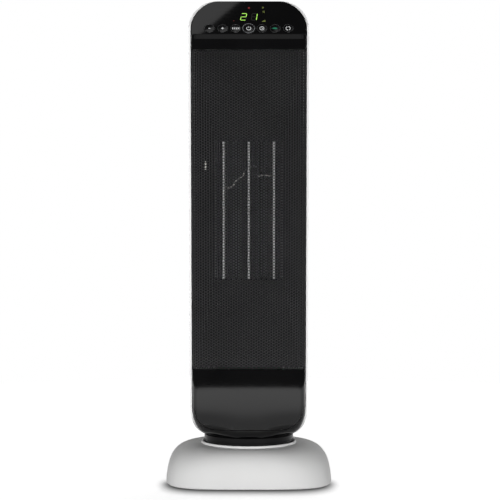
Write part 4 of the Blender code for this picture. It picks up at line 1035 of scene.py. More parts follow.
# The tower's outline
@dataclass(frozen=True)
class TowerShape:
    """Plan outlines of the tower, from its round foot to its top."""

    total_height: float = 0.640
    bottom: float = 0.0626
    shell_width: float = 0.1584
    front_depth: float = 0.065
    depth: float = 0.065
    taper: float = 0.0012
    corner_radius: float = 0.037
    rear_radius: float = 0.025
    foot_radius: float = 0.061
    foot_joint: float = math.radians(-8)
    blend_height: float = 0.0524
    blend_power: float = 3.6
    front_power: float = 5.4
    rear_corner_share: float = 0.55
    joint_y: float = -0.048
    shell_wall: float = 0.0025
    front_inset: float = 0.0037
    edge_radius: float = 0.009
    skin_y: float = -0.0545
    panel_y: float = -0.062
    panel_thickness: float = 0.0025
    panel_bottom: float = 0.5964
    panel_tilt: float = math.radians(39)
    ledge_bottom: float = 0.5898
    grille_top: float = 0.5762
    grille_bottom: float = 0.1554
    cover_bottom: float = 0.0737
    cover_radius: float = 0.028
    cover_margin: float = 0.003
    window_bottom: float = 0.2731
    window_top: float = 0.4561
    filter_half: Flat = (0.044, 0.099)
    spigot_bore: float = 0.0205
    fit: float = 0.0003

    @property
    def corner_start(self) -> float:
        """The height at which the top corners start."""
        return self.total_height - self.corner_radius

    def half_width(self, height: float, inset: float) -> float:
        """Half the width at a height.

        Args:
            height: The height.
            inset: How far inside the shell's face.

        Returns:
            The half-width.
        """
        below = self.corner_start - min(height, self.corner_start)
        narrower = self.taper * below / (self.corner_start - self.bottom)
        rise = max(0.0, height - self.corner_start)
        corner = self.corner_radius - math.sqrt(max(0.0, self.corner_radius**2 - rise**2))
        return self.shell_width / 2 - narrower - corner - inset

    def to_foot(self, points: Sequence[Flat], height: float, inset: float, wide: float) -> list[Place]:
        """Draw a plan outline in towards the round foot, where the shells' joint lies further back.

        Args:
            points: The outline.
            height: Its height.
            inset: How far inside the shell's face.
            wide: Half the outline's width.

        Returns:
            The outline in space.
        """
        rise = min(1.0, max(0.0, (height - self.bottom) / self.blend_height))
        radius = self.foot_radius - inset
        joint = math.atan2(self.joint_y, wide)
        across = 1.0 - (1.0 - rise) ** self.blend_power
        blended = []
        for x, y in points:
            turn = math.atan2(y, abs(x))
            pivot = math.copysign(math.pi / 2, turn - joint)
            turn = pivot + (turn - pivot) * (self.foot_joint - pivot) / (joint - pivot)
            foot_x, foot_y = math.copysign(radius * math.cos(turn), x), radius * math.sin(turn)
            ahead = min(1.0, max(0.0, (self.joint_y - y) / (self.joint_y + self.front_depth)))
            deep = 1.0 - (1.0 - rise) ** (self.blend_power + (self.front_power - self.blend_power) * ahead)
            blended.append((foot_x + (x - foot_x) * across, foot_y + (y - foot_y) * deep, height))
        return blended

    def rear(self, height: float, inset: float = 0.0) -> list[Place]:
        """The outline behind the joint, from the left edge round the rear to the right edge.

        Args:
            height: Its height.
            inset: How far inside the shell's face.

        Returns:
            The outline in space.
        """
        wide = self.half_width(height, inset)
        rise = max(0.0, height - self.total_height + self.rear_radius)
        deep = self.depth - self.rear_radius + math.sqrt(max(0.0, self.rear_radius**2 - rise**2)) - inset
        corner = (wide * self.rear_corner_share, deep * self.rear_corner_share)
        centre = (wide - corner[0], deep - corner[1])
        side = [(wide, self.joint_y + (centre[1] - self.joint_y) * step / 8) for step in range(8)]
        turn = arc(centre, corner, 0.0, math.pi / 2, 18)
        right = [*side, *turn, (centre[0] / 3, deep)]
        return self.to_foot([*[(-x, y) for x, y in right], *right[::-1]], height, inset, wide)

    def front(self, height: float, edge_y: float, front_y: float) -> list[Place]:
        """The outline in front of the joint, from the right edge round the front to the left edge.

        Args:
            height: Its height.
            edge_y: Where its ends lie.
            front_y: Where its flat front lies.

        Returns:
            The outline in space.
        """
        wide = self.half_width(height, self.front_inset)
        radius = self.edge_radius
        corner = arc((wide - radius, front_y + radius), (radius, radius), 0.0, -math.pi / 2, 10)
        flat = [((wide - radius) * share, front_y) for share in (0.8, 0.6, 0.4, 0.2)]
        outline = with_mirror([(wide, edge_y), *corner, *flat])
        return self.to_foot(outline, height, self.front_inset - self.shell_wall, wide)

    def foot_heights(self) -> list[float]:
        """Heights up the blend from the foot, closer together near it."""
        return [self.bottom + self.blend_height * (step / 22) ** 1.5 for step in range(23)]

    def corner_heights(self) -> list[float]:
        """Heights up the top corners."""
        turns = [math.pi / 2 * step / 16 for step in range(17)]
        return [self.corner_start + self.corner_radius * math.sin(turn) for turn in turns]

    def panel_plane(self, up: float = 0.0, across: float = 0.0, out: float = 0.0) -> Matrix:
        """The sloped panel's plane, moved to a point on it: X across, Y up the slope, Z out."""
        plane = facing_front(self.panel_y, self.panel_bottom) @ Matrix.Rotation(-self.panel_tilt, 4, "X")
        return plane @ Matrix.Translation((across, up, out))

    def spigot_hole(self, name: str) -> Object:
        """The tool for the hole in the tower's floor over the hollow spigot."""
        return drill(name, self.spigot_bore, 0.056, 0.068, 48)

    def slope_tool(self, name: str) -> Object:
        """Make the tool that cuts the sloped panel's place out of a shell.

        Args:
            name: Its name.

        Returns:
            The tool.
        """
        side = self.shell_width
        tool = block(name, (-side, -self.fit, -self.panel_thickness - self.fit), (side, side, side))
        tool.matrix_world = self.panel_plane()
        return tool

    def cover_outline(self, grow: float) -> list[Flat]:
        """Draw the lower cover's edge as the front shows it, open to the sides above its corners.

        Args:
            grow: How far outside the edge.

        Returns:
            The outline.
        """
        radius = self.cover_radius
        corner_x = self.half_width(self.bottom + self.blend_height, self.front_inset) - self.cover_margin
        centre = (corner_x - radius, self.cover_bottom + radius)
        corner = arc(centre, (radius + grow, radius + grow), 0.0, -math.pi / 2, 18)
        flare = (corner_x + radius * 0.55, self.cover_bottom + radius * 1.4 + grow)
        middle = ((flare[0] + corner_x + grow) / 2 - 0.0012, (flare[1] + centre[1]) / 2)
        return with_mirror([(flare[0], self.grille_top + grow), flare, middle, *corner])


SHAPE = TowerShape()


@dataclass
class Base(SubAssembly):
    """The white base with its rubber feet, floor screws and cord gland."""

    body: Body = Body.BASE
    width: float = 0.2206
    height: float = 0.0524
    lift: float = 0.0018
    wall: float = 0.0024
    plan_power: float = 4.0
    bottom_radius: float = 0.0022
    lip_outer: float = 0.0638
    lip_inner: float = 0.0606
    lip_rise: float = 0.0028
    foot_place: float = 0.074
    screw_place: float = 0.052
    screw_radius: float = 0.0030
    screw_height: float = 0.0009
    gland_height: float = 0.016
    gland_hole: float = 0.0068
    ring_steps: int = 112
    flank_steps: int = 24

    def plan_ring(self, half: float, power: float, height: float) -> list[Place]:
        """A closed ring between a circle and a square with round corners.

        Args:
            half: Half its width.
            power: 2 for a circle, and more for a squarer ring.
            height: Its height.

        Returns:
            The ring in space.
        """
        points = []
        for point in ring((0.0, 0.0), (1.0, 1.0), self.ring_steps):
            x, y = (half * math.copysign(abs(part) ** (2.0 / power), part) for part in point)
            points.append((x, y, height))
        return points

    def flank(self) -> list[Place]:
        """Follow the flank up to the lip.

        Returns:
            The half-width, plan power and height at each step.
        """
        top = self.height - self.lip_rise
        reach = self.width / 2
        shares = ((1.0, 0.0), (0.997, 0.60), (0.895, 1.045))
        stations = [(x * reach, self.lift + z * (top - self.lift)) for x, z in shares]
        stations.append((self.lip_outer, top))
        edge = self.bottom_radius
        foot = arc((reach - edge, self.lift + edge), (edge, edge), -math.pi / 2, 0.0, 5)[:-1]
        rows = [(half, self.plan_power, level) for half, level in foot]
        for step in range(1, self.flank_steps + 1):
            share = step / self.flank_steps
            rest = 1.0 - share
            weights = (rest**3, 3 * rest**2 * share, 3 * rest * share**2, share**3)
            half, level = (sum(w * station[axis] for w, station in zip(weights, stations)) for axis in (0, 1))
            rows.append((half, 2.0 + (self.plan_power - 2.0) * rest, level))
        return rows

    def build(self) -> None:
        """Build and dress the base's pieces."""
        self.build_shell()
        place = self.foot_place
        profile = [
            (0.0, 0.0043), (0.0035, 0.0043), (0.0035, 0.0015), (0.0086, 0.0015), (0.0090, 0.0011),
            (0.0090, 0.0004), (0.0086, 0.0), (0.0062, 0.0), (0.0058, 0.0005), (0.0048, 0.0005),
            (0.0044, 0.0), (0.0, 0.0),
        ]
        foot = lathe("rubber_feet", profile, 40, (-place, -place, 0.0))
        self.dress(self.four(foot, place), FOOT_RUBBER, Slot.RUBBER, "foot_1", "foot_2", "foot_3", "foot_4")
        place = self.screw_place
        plane = Facing.DOWN.at((-place, -place, self.screw_height))
        screw = screw_shape("base_screws", self.screw_radius, self.screw_height, plane)
        self.dress(self.four(screw, place), STEEL, Slot.STEEL)

        inner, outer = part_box("cord_gland")
        profile = [
            (0.0040, outer.y), (0.0044, outer.y), (0.0060, outer.y), (0.0065, outer.y - 0.0006),
            (0.0065, inner.y + 0.0025), (0.0090, inner.y + 0.0025), (0.0090, inner.y), (0.0038, inner.y),
            (0.0038, outer.y - 0.0004),
        ]
        gland = moved(lathe("cord_gland_ring", profile, 40), Facing.REAR.at((0.0, 0.0, self.gland_height)))
        self.dress(gland, FOOT_RUBBER, Slot.RUBBER, "cord_gland")

    def build_shell(self) -> None:
        """Build the white shell with its raised lip and the hole for the gland."""
        rows = [self.plan_ring(*row) for row in self.flank()]
        middle = (self.lip_outer + self.lip_inner) / 2
        reach = (self.lip_outer - self.lip_inner) / 2
        low = self.height - self.lip_rise
        lip = arc((middle, low), (reach, self.lip_rise), 0.25, math.pi * 0.72, 8)
        lip.append((self.lip_inner, low - 0.0002))
        rows += [self.plan_ring(radius, 2.0, level) for radius, level in lip]
        shell = loft("base_shell_smooth", rows, closed=True)
        thicken(shell, self.wall)
        hole = drill("gland_hole", self.gland_hole, 0.09, 0.13, 40)
        hole.matrix_world = Facing.REAR.at((0.0, 0.0, self.gland_height))
        tool = cut(shell, hole)
        round_edges(shell, 0.0004, 60.0, 2)
        # Painted shade: a darker copy of the shell's white
        self.dress(bake(shell, tool), WHITE_BASE_PAINTED_SHADE, Slot.WHITE, "base_shell")

    @staticmethod
    def four(piece: Object, place: float) -> Object:
        """Four of a piece, which stands at minus the place in X and in Y."""
        return repeat(piece, (2, (2 * place, 0.0, 0.0)), (2, (0.0, 2 * place, 0.0)))


def screw_shape(name: str, radius: float, height: float, plane: Matrix) -> Object:
    """A pan-head screw with a cross recess.

    Args:
        name: Its name.
        radius: The head's radius.
        height: The head's height.
        plane: The plane that its head touches from below.

    Returns:
        The baked object.
    """
    dome = arc((0.0, -height), (radius, height), math.pi / 2, 0.12, 8)
    head = lathe(name, [(max(0.0, x), z) for x, z in dome] + [(radius, -height), (0.0, -height)], 32)
    arm = radius * 0.16
    reach = radius * 0.62
    tools = []
    for index, (x, y) in enumerate(((reach, arm), (arm, reach))):
        tools.append(cut(head, block(f"{name}_slot_{index}", (-x, -y, -height * 0.55), (x, y, height))))
    return moved(bake(head, *tools), plane)


@dataclass
class Neck(SubAssembly):
    """The black swivel collar between base and tower."""

    radius: float = 0.0598
    low: float = 0.0451
    high: float = 0.0623
    wall: float = 0.0025
    spigot: float = 0.0234
    spigot_low: float = 0.0338
    shaft_y: float = 0.0405
    shaft_hole: float = 0.0033
    edge: float = 0.0008

    def build(self) -> None:
        """Build and dress the collar."""
        ceiling = self.high - self.wall
        edge, bore = self.edge, SHAPE.spigot_bore
        profile = [
            (bore, self.high), (self.radius - edge, self.high),
            *arc((self.radius - edge, self.high - edge), (edge, edge), math.pi / 2, 0.0, 4),
            (self.radius, 0.0560), (self.radius - 0.0005, 0.0557), (self.radius - 0.0005, 0.0551),
            (self.radius, 0.0548),
            *arc((self.radius - edge, self.low + edge), (edge, edge), 0.0, -math.pi / 2, 4),
            (self.radius - self.wall, self.low), (self.radius - self.wall, ceiling), (self.spigot, ceiling),
            (self.spigot, self.spigot_low), (bore, self.spigot_low),
        ]
        collar = lathe("collar_smooth", profile, 112)
        tool = cut(collar, drill("collar_hole", self.shaft_hole, 0.055, 0.07, 24, (0.0, self.shaft_y, 0.0)))
        self.dress(bake(collar, tool), NECK_BLACK, Slot.NECK, "swivel_collar")


@dataclass
class RearHousing(SubAssembly):
    """The white rear housing with its handle recess and screws."""

    handle_z: float = 0.576
    handle_half: Flat = (0.046, 0.015)
    cup_depth: float = 0.028
    cup_sink: float = 0.001
    cup_wall: float = 0.002
    cup_lip: float = 0.0008
    cup_bend: float = 0.005
    cup_corners: Place = (0.007, 0.0052, 0.0012)
    cup_slack: float = 0.001
    screw_x: float = 0.029
    screw_heights: Flat = (0.1356, 0.530)
    screw_radius: float = 0.0041
    screw_height: float = 0.0028
    screw_hole: float = 0.0044

    def build(self) -> None:
        """Build and dress the rear's pieces."""
        straight = [SHAPE.bottom + SHAPE.blend_height + step * 0.049 for step in range(1, 10)]
        heights = [*SHAPE.foot_heights(), *straight, *SHAPE.corner_heights()]
        rows = [SHAPE.rear(height) for height in heights]
        shell = loft("housing_smooth", rows, closed=False, floor=True, roof=True, flat=2)
        thicken(shell, SHAPE.shell_wall)
        holes = (SHAPE.slope_tool("housing_slope"), SHAPE.spigot_hole("housing_spigot"))
        tools = [cut(shell, hole) for hole in holes]
        fit = SHAPE.fit
        middle = (SHAPE.window_bottom + SHAPE.window_top) / 2
        cuts = (
            ("filter_cut", SHAPE.filter_half, 0.0012, middle),
            ("handle_cut", self.handle_half, self.cup_corners[0], self.handle_z),
        )
        for name, half, radius, level in cuts:
            outline = rounded_rectangle((half[0] + fit, half[1] + fit), radius + fit, (0.0, level))
            tools.append(cut(shell, sheet(name, [outline], 0.0, 0.03, facing_front(0.085))))
        for index, height in enumerate(self.screw_heights):
            for side in (-1, 1):
                hole = drill(f"screw_cut_{index}_{side}", self.screw_hole, 0.055, 0.1, 28)
                hole.matrix_world = Facing.REAR.at((side * self.screw_x, 0.0, height))
                tools.append(cut(shell, hole))
        round_edges(shell, 0.0005, 55.0, 2)
        self.dress(bake(shell, *tools), WHITE_SHELL, Slot.WHITE, "rear_housing")
        self.build_handle()

        low, high = self.screw_heights
        plane = Facing.REAR.at((-self.screw_x, SHAPE.depth - 0.0005, low))
        screw = screw_shape("housing_screws", self.screw_radius, self.screw_height, plane)
        screws = repeat(screw, (2, (2 * self.screw_x, 0.0, 0.0)), (2, (0.0, 0.0, high - low)))
        nodes = [f"housing_screw_{number}" for number in range(1, 5)]
        self.dress(screws, STEEL, Slot.STEEL, *nodes)

    def build_handle(self) -> None:
        """Build the deep round-cornered cup that the fingers go into."""
        wall, lip, bend = self.cup_wall, self.cup_lip, self.cup_bend
        outer_y = SHAPE.depth - self.cup_sink
        floor_y = outer_y - self.cup_depth + wall
        corner, inner_corner, floor_corner = self.cup_corners
        stations = [(outer_y - self.cup_depth * share, 0.0, corner) for share in (1.0, 0.8, 0.35, 0.0)]
        turn = arc((outer_y - lip, wall - lip), (lip, lip), 0.0, math.pi / 2, 4)
        stations += [(y, inset, inner_corner + self.cup_slack) for y, inset in turn]
        turn = arc((floor_y + bend, wall + bend), (bend, bend), -math.pi / 2, -math.pi, 6)
        stations += [(y, inset, max(floor_corner, inner_corner - 0.7 * (inset - wall))) for y, inset in turn]
        rows = []
        for y, inset, radius in stations:
            half = (self.handle_half[0] - inset, self.handle_half[1] - inset)
            outline = rounded_rectangle(half, radius, (0.0, self.handle_z))
            rows.append([(x, y, z) for x, z in outline])
        cup = loft("handle_cup_smooth", rows, closed=True, floor=True, roof=True)
        settle(cup.data, outwards=True)
        self.dress(cup, WHITE_SHELL, Slot.WHITE, "handle_cup")


@dataclass
class DustFilter(SubAssembly):
    """The lift-out filter: a frame with soft-cornered windows over a woven net."""

    body: Body = Body.FILTER
    middle: float = 0.3646
    inner_y: float = 0.0605
    outer_y: float = 0.064
    bar: float = 0.004
    columns: int = 3
    rows: int = 8
    wire: float = 0.00022
    wire_pitch: float = 0.0017
    net_margin: float = 0.002
    net_sink: float = 0.0008

    def build(self) -> None:
        """Build and dress the frame and its net."""
        half_x, half_z = SHAPE.filter_half
        cell_x = (2 * half_x - self.bar) / self.columns
        cell_z = (2 * half_z - self.bar) / self.rows
        outlines = [rounded_rectangle(SHAPE.filter_half, 0.0010, (0.0, self.middle), 3)]
        for column in range(self.columns):
            for row in range(self.rows):
                x = self.bar / 2 - half_x + (column + 0.5) * cell_x
                z = self.middle + self.bar / 2 - half_z + (row + 0.5) * cell_z
                size = ((cell_x - self.bar) / 2, (cell_z - self.bar) / 2)
                outlines.append(rounded_rectangle(size, 0.0016, (x, z), 4))
        plane = facing_front(self.outer_y)
        grid = sheet("filter_frame_smooth", outlines, 0.0, self.outer_y - self.inner_y, plane, 0.0004)
        self.dress(grid, INNER_BLACK, Slot.INNER, "filter_frame")

        side, rise = half_x - self.net_margin, half_z - self.net_margin
        low, high = self.middle - rise, self.middle + rise
        wire, pitch = self.wire, self.wire_pitch
        near = self.inner_y + self.net_sink
        upright = block("filter_net_upright", (-side, near, low), (-side + wire, near + wire, high))
        level = block("filter_net_level", (-side, near + wire, low), (side, near + 2 * wire, low + wire))
        runs = ((upright, 2 * side, (pitch, 0.0, 0.0)), (level, high - low, (0.0, 0.0, pitch)))
        for thread, reach, step in runs:
            self.dress(repeat(thread, (int(reach / pitch), step)), INNER_BLACK, Slot.INNER)


@dataclass
class FrontShell(SubAssembly):
    """The black frame with its chin and ledge, and the glossy lower cover."""

    wall: float = 0.0022
    cover_wall: float = 0.002
    cover_gap: float = 0.0005
    cover_edge: float = 0.0011
    reach: float = 0.075

    def build(self) -> None:
        """Build and dress the frame and the cover."""
        self.build_frame()
        self.build_cover()

    def build_frame(self) -> None:
        """Build the frame from the foot to the top corners, with the cover's and the grille's opening."""
        back, front = SHAPE.joint_y - SHAPE.fit, -SHAPE.front_depth
        ledge = SHAPE.ledge_bottom
        straight = [SHAPE.grille_bottom, 0.3, 0.45, SHAPE.grille_top, ledge - 0.0004]
        rows = [SHAPE.front(height, back, front) for height in [*SHAPE.foot_heights(), *straight, ledge]]
        slope = (SHAPE.panel_y - front) / (SHAPE.panel_bottom - ledge)
        rows += [SHAPE.front(ledge + up, back, front + slope * up) for up in (0.0004, 0.0062)]
        tops = [SHAPE.panel_bottom, *(SHAPE.corner_start + up for up in (0.0, 0.009, 0.0185))]
        rows += [SHAPE.front(height, back, SHAPE.panel_y) for height in tops]
        shell = loft("front_frame_smooth", rows, closed=False, floor=True, flat=5)
        thicken(shell, self.wall)
        inside = SHAPE.skin_y + SHAPE.fit
        opening = sheet(
            "front_opening", [SHAPE.cover_outline(SHAPE.fit)], 0.0, inside + self.reach, facing_front(inside),
        )
        holes = (SHAPE.slope_tool("frame_slope"), SHAPE.spigot_hole("frame_spigot"), opening)
        tools = [cut(shell, hole) for hole in holes]
        round_edges(shell, 0.0004, 50.0, 2)
        self.dress(bake(shell, *tools), GLOSS_BLACK, Slot.FRONT, "front_frame")

    def build_cover(self) -> None:
        """Build the glossy lower cover, which the frame's opening holds."""
        heights = [height for height in SHAPE.foot_heights() if height < SHAPE.grille_bottom]
        heights += [0.13, 0.142, SHAPE.grille_bottom - SHAPE.fit]
        rows = [SHAPE.front(height, SHAPE.joint_y, -SHAPE.front_depth) for height in heights]
        cover = loft("lower_cover_smooth", rows, closed=False)
        thicken(cover, self.cover_wall)
        outline = SHAPE.cover_outline(-self.cover_gap)
        keep = sheet("cover_keep", [outline], 0.0, SHAPE.skin_y + self.reach, facing_front(SHAPE.skin_y))
        tool = cut(cover, keep, "INTERSECT")
        round_edges(cover, self.cover_edge, 50.0, 3)
        self.dress(bake(cover, tool), GLOSS_BLACK, Slot.FRONT, "lower_cover")


@dataclass
class Grille(SubAssembly):
    """The dished honeycomb grille and its plain rim."""

    wall: float = 0.0016
    slope: float = 0.25
    creases: tuple[Flat, ...] = (
        (0.0, 1.0), (0.105, 0.90), (0.28, 0.69), (0.714, 0.69), (0.968, 0.98), (1.0, 1.0),
    )
    limit: float = 0.97
    columns: int = 49
    rows: int = 115
    pitch_x: float = 0.00332
    pitch_z: float = 0.00370
    open_share: float = 0.74
    rim: float = 0.0007
    rim_steps: int = 30
    rim_proud: float = 0.00004

    def crease(self, height: float) -> float:
        """Find where the dish's crease runs.

        Args:
            height: The height.

        Returns:
            The crease's share of the flat width.
        """
        top, bottom = SHAPE.grille_top, SHAPE.grille_bottom
        share = (top - height) / (top - bottom)
        for (first, wide_1), (second, wide_2) in zip(self.creases, self.creases[1:]):
            if share <= second:
                return min(self.limit, wide_1 + (wide_2 - wide_1) * (share - first) / (second - first))
        return self.limit

    def half_span(self, height: float) -> float:
        """Half the skin's width at a height, measured along it."""
        radius = SHAPE.edge_radius
        return SHAPE.half_width(height, SHAPE.front_inset) - radius + radius * math.pi / 2

    def point(self, span: float, height: float, sink: float = 0.0) -> Place:
        """A point of the skin.

        Args:
            span: Its distance from the middle along the skin, without the dish.
            height: Its height.
            sink: How far it lies behind the outer face.

        Returns:
            The point.
        """
        radius = SHAPE.edge_radius
        flat = SHAPE.half_width(height, SHAPE.front_inset) - radius
        crease = flat * self.crease(height)
        away = abs(span)
        front = -SHAPE.front_depth
        if away <= flat:
            share = min(1.0, (flat - away) / (flat - crease))
            return (span, front + (flat - crease) * self.slope * share + sink, height)
        angle = (away - flat) / radius
        x = flat + (radius - sink) * math.sin(angle)
        return (math.copysign(x, span), front + radius - (radius - sink) * math.cos(angle), height)

    def stations(self, height: float) -> list[float]:
        """Place the skin's bends, and some points between them.

        Args:
            height: The height.

        Returns:
            Distances from the middle along the skin.
        """
        flat = SHAPE.half_width(height, SHAPE.front_inset) - SHAPE.edge_radius
        crease = flat * self.crease(height)
        half = self.half_span(height)
        right = [crease * step / 6 for step in range(1, 7)]
        right += [crease + (flat - crease) * step / 4 for step in range(1, 5)]
        right += [flat + (half - flat) * step / 10 for step in range(1, 11)]
        return [-span for span in right[::-1]] + [0.0] + right

    def heights(self) -> list[float]:
        """Place the skin's rows.

        Returns:
            Heights up the grille, with each of the dish's corners among them.
        """
        top, bottom = SHAPE.grille_top - SHAPE.fit, SHAPE.grille_bottom + SHAPE.fit
        levels = {bottom, top}
        for share, _ in self.creases[1:-1]:
            levels.add(SHAPE.grille_top - share * (SHAPE.grille_top - SHAPE.grille_bottom))
        levels |= {bottom + (top - bottom) * step / 36 for step in range(1, 36)}
        return sorted(levels)

    def build(self) -> None:
        """Build and dress the net and the rim."""
        rows = [(height, self.stations(height)) for height in self.heights()]
        low, high = rows[0][0], rows[-1][0]
        skin = loft("honeycomb_grille", [[self.point(s, h) for s in line] for h, line in rows], closed=False)
        layer = skin.data.uv_layers.new(name="cells")
        flat_places: list[Flat] = []
        for height, line in rows:
            wide, up = 2 * self.half_span(height), (height - low) / (high - low)
            flat_places += [(span / wide + 0.5, up) for span in line]
        for loop in skin.data.loops:
            layer.data[loop.index].uv = flat_places[loop.vertex_index]
        values = {
            "Columns": self.columns, "Rows": self.rows, "Pitch X": self.pitch_x, "Pitch Y": self.pitch_z,
            "Width": 2 * self.half_span((low + high) / 2), "Height": high - low,
            "Open Share": self.open_share,
        }
        HONEYCOMB.run(skin, values)
        thicken(skin, self.wall, even=False)
        self.dress(bake(skin), GRILLE_BLACK, Slot.GRILLE, "front_grille")
        self.build_rim()

    def build_rim(self) -> None:
        """Build the plain strip round the net, in a darker black than the net's that paints the shade round
        its edge.
        """
        reach = (self.columns - 2.0) * self.pitch_x / 2
        low, *middle, high = self.heights()
        ends = (low + self.rim, high - self.rim)
        between = [height for height in middle if ends[0] < height < ends[1]]
        heights = [low, ends[0], *between, ends[1], high]
        inside = [reach * (2 * (step + 1) / (self.rim_steps + 1) - 1.0) for step in range(self.rim_steps)]
        points: list[Place] = []
        for height in heights:
            half = self.half_span(height)
            edges = [half - (half - reach) * step / 4 for step in range(5)]
            spans = [*(-span for span in edges), *inside, *edges[::-1]]
            points.extend(self.point(span, height, -self.rim_proud) for span in spans)
        count = len(points) // len(heights)
        faces: list[Face] = []
        for level in range(len(heights) - 1):
            plain = level in (0, len(heights) - 2)
            for index in range(count - 1):
                if plain or index < 4 or index >= count - 5:
                    here = level * count + index
                    faces.append((here, here + 1, here + count + 1, here + count))
        rim = mesh_piece("grille_rim", points, faces)
        thicken(rim, self.wall)
        # Painted shade: a darker copy of the grille's black
        self.dress(bake(rim), RIM_PAINTED_SHADE_BLACK, Slot.GRILLE, "front_grille")


@dataclass
class ControlPanel(SubAssembly):
    """The sloped glossy panel with its keys, symbols and lit display."""

    key_up: float = 0.0095
    key_pitch: float = 0.0172
    key_radius: float = 0.0068
    key_low: float = -0.0079
    stem_radius: float = 0.002
    power_radius: float = 0.0084
    ring_width: float = 0.0005
    power_ring: float = 0.0011
    ring_height: float = 0.0003
    dish: float = 0.0003
    proud: float = 0.0004
    ink: float = 0.00006
    slant: float = 0.13
    segment: float = 0.00095
    segment_gap: float = 0.0002
    line: float = 0.00055

    def build(self) -> None:
        """Build and dress the panel, the keys and the display."""
        wide = SHAPE.half_width(SHAPE.corner_start, SHAPE.front_inset)
        slope = math.cos(SHAPE.panel_tilt)
        length = (SHAPE.total_height - SHAPE.panel_bottom) / slope
        start = (SHAPE.corner_start - SHAPE.panel_bottom) / slope
        radii = (SHAPE.corner_radius, length - start)
        corner = arc((wide - SHAPE.corner_radius, start), radii, 0.0, math.pi / 2, 28)
        outlines = [with_mirror([(wide, 0.0), *corner])]
        for _, x, radius in self.keys():
            reach = radius + SHAPE.fit
            outlines.append(arc((x, self.key_up), (reach, reach), 0.0, -math.tau, 40)[:-1])
        panel = sheet("panel_smooth", outlines, -SHAPE.panel_thickness, 0.0, SHAPE.panel_plane(), 0.0003)
        self.dress(panel, GLOSS_BLACK, Slot.FRONT, "control_panel")
        for key, x, radius in self.keys():
            self.build_key(key, x, radius)
        self.build_display()

    def keys(self) -> list[tuple[Key, float, float]]:
        """Each key with its place across the panel and its radius."""
        places = ((key, n * self.key_pitch - len(Key) // 2 * self.key_pitch) for n, key in enumerate(Key))
        return [(key, x, self.power_radius if key is Key.POWER else self.key_radius) for key, x in places]

    def build_key(self, key: Key, x: float, radius: float) -> None:
        """Build one key with its ring and its symbol.

        Args:
            key: Which one it is.
            x: Its place across the panel.
            radius: Its radius.
        """
        width, metal = (self.power_ring, CHROME) if key is Key.POWER else (self.ring_width, RING_GREY)
        dish, top = self.dish, self.proud
        inner = radius - width - 0.0002
        plane = SHAPE.panel_plane(self.key_up, x)
        body = f"button_{key.value}"
        profile = [
            (0.0, top - dish), (inner * 0.5, top - dish * 0.85), (inner * 0.8, top - dish * 0.5),
            (inner, top - 0.00012), (inner + 0.0001, top - 0.0004), (radius - 0.0001, top - 0.0005),
            (radius, top - 0.0007), (radius, top - 0.0034), (self.stem_radius, top - 0.0034),
            (self.stem_radius, self.key_low), (0.0, self.key_low),
        ]
        self.dress(moved(lathe(f"{body}_cap", profile, 48), plane), KEY_BLACK, Slot.KEY, body, body=body)
        middle, half = radius - width / 2 - 0.0001, width / 2
        low = top - 2 * self.ring_height
        section = arc((middle, top - self.ring_height), (half, self.ring_height), math.pi, 0.0, 8)
        bezel = lathe(f"{body}_ring", [*section, (middle + half, low), (middle - half, low)], 64)
        self.dress(moved(bezel, plane), metal, Slot.POWER_KEY, body=body)
        face = SHAPE.panel_plane(self.key_up, x, top - dish * 0.9)
        symbol = emboss(f"{body}_symbol", self.symbol(key), face, dish * 0.9 + 0.00004)
        self.dress(symbol, ICON_GREEN if key is Key.ECO else ICON_WHITE, Slot.KEY, body=body)

    def symbol(self, key: Key) -> list[Stroke]:
        """A key's symbol.

        Args:
            key: Which key.

        Returns:
            Its strokes.
        """
        thin, bold = self.line, self.line * 1.1
        middle, r = (0.0, 0.0), 0.0028
        if key is Key.MINUS:
            return [ribbon([(-0.0013, 0.0), (0.0013, 0.0)], thin)]
        if key is Key.PLUS:
            a, b = 0.0018, thin * 0.6
            upper = [(b, b), (b, a), (-b, a), (-b, b), (-a, b), (-a, -b)]
            return [filled([*upper, *[(-x, -y) for x, y in upper]])]
        if key is Key.MODE:
            places = (-0.0039, -0.0013, 0.0013, 0.0039)
            return [self.wave((x, -0.0016), (0.0006, 0.0032), 0.9, 10, bold) for x in places]
        if key is Key.POWER:
            bow = arc(middle, (r, r), math.radians(130), math.radians(410), 26)
            return [ribbon(bow, bold), ribbon([(0.0, 0.0006), (0.0, r + 0.0005)], bold)]
        if key is Key.TIMER:
            hands = [(0.0, 0.0019), middle, (0.0015, -0.0008)]
            return [ribbon(ring(middle, (r, r), 28), thin, closed=True), ribbon(hands, thin)]
        if key is Key.ECO:
            radii, start, end = (0.0034, 0.0018), math.pi * 0.92, math.pi * 0.08
            leaf = [*arc((0.0, -0.0005), radii, start, end, 12), *arc((0.0, 0.0005), radii, -end, -start, 12)]
            return [filled(leaf), ribbon([(-0.0045, -0.0002), (-0.0035, 0.0)], thin)]
        strokes = []
        for start in (112.0, -68.0):
            bow = arc(middle, (r, r), math.radians(start), math.radians(start + 128.0), 14)
            run, tip = math.radians(start + 218.0), Vector(bow[-1])
            ahead, out = Vector((math.cos(run), math.sin(run))), tip.normalized()
            corners = [tip + side for side in (-out * 0.0009, out * 0.0009, ahead * 0.0013)]
            strokes += [ribbon(bow, bold), filled([(p.x, p.y) for p in corners])]
        return strokes

    @staticmethod
    def wave(start: Flat, size: Flat, pace: float, steps: int, width: float) -> Stroke:
        """A rising wave of heat.

        Args:
            start: Its lower end.
            size: How far it sways and how high it rises.
            pace: How far it turns at each step.
            steps: How many steps it has.
            width: Its stroke's width.

        Returns:
            Its stroke.
        """
        (x, y), (sway, rise) = start, size
        line = [(x + sway * math.sin(n * pace), y + rise * n / steps) for n in range(steps + 1)]
        return ribbon(line, width)

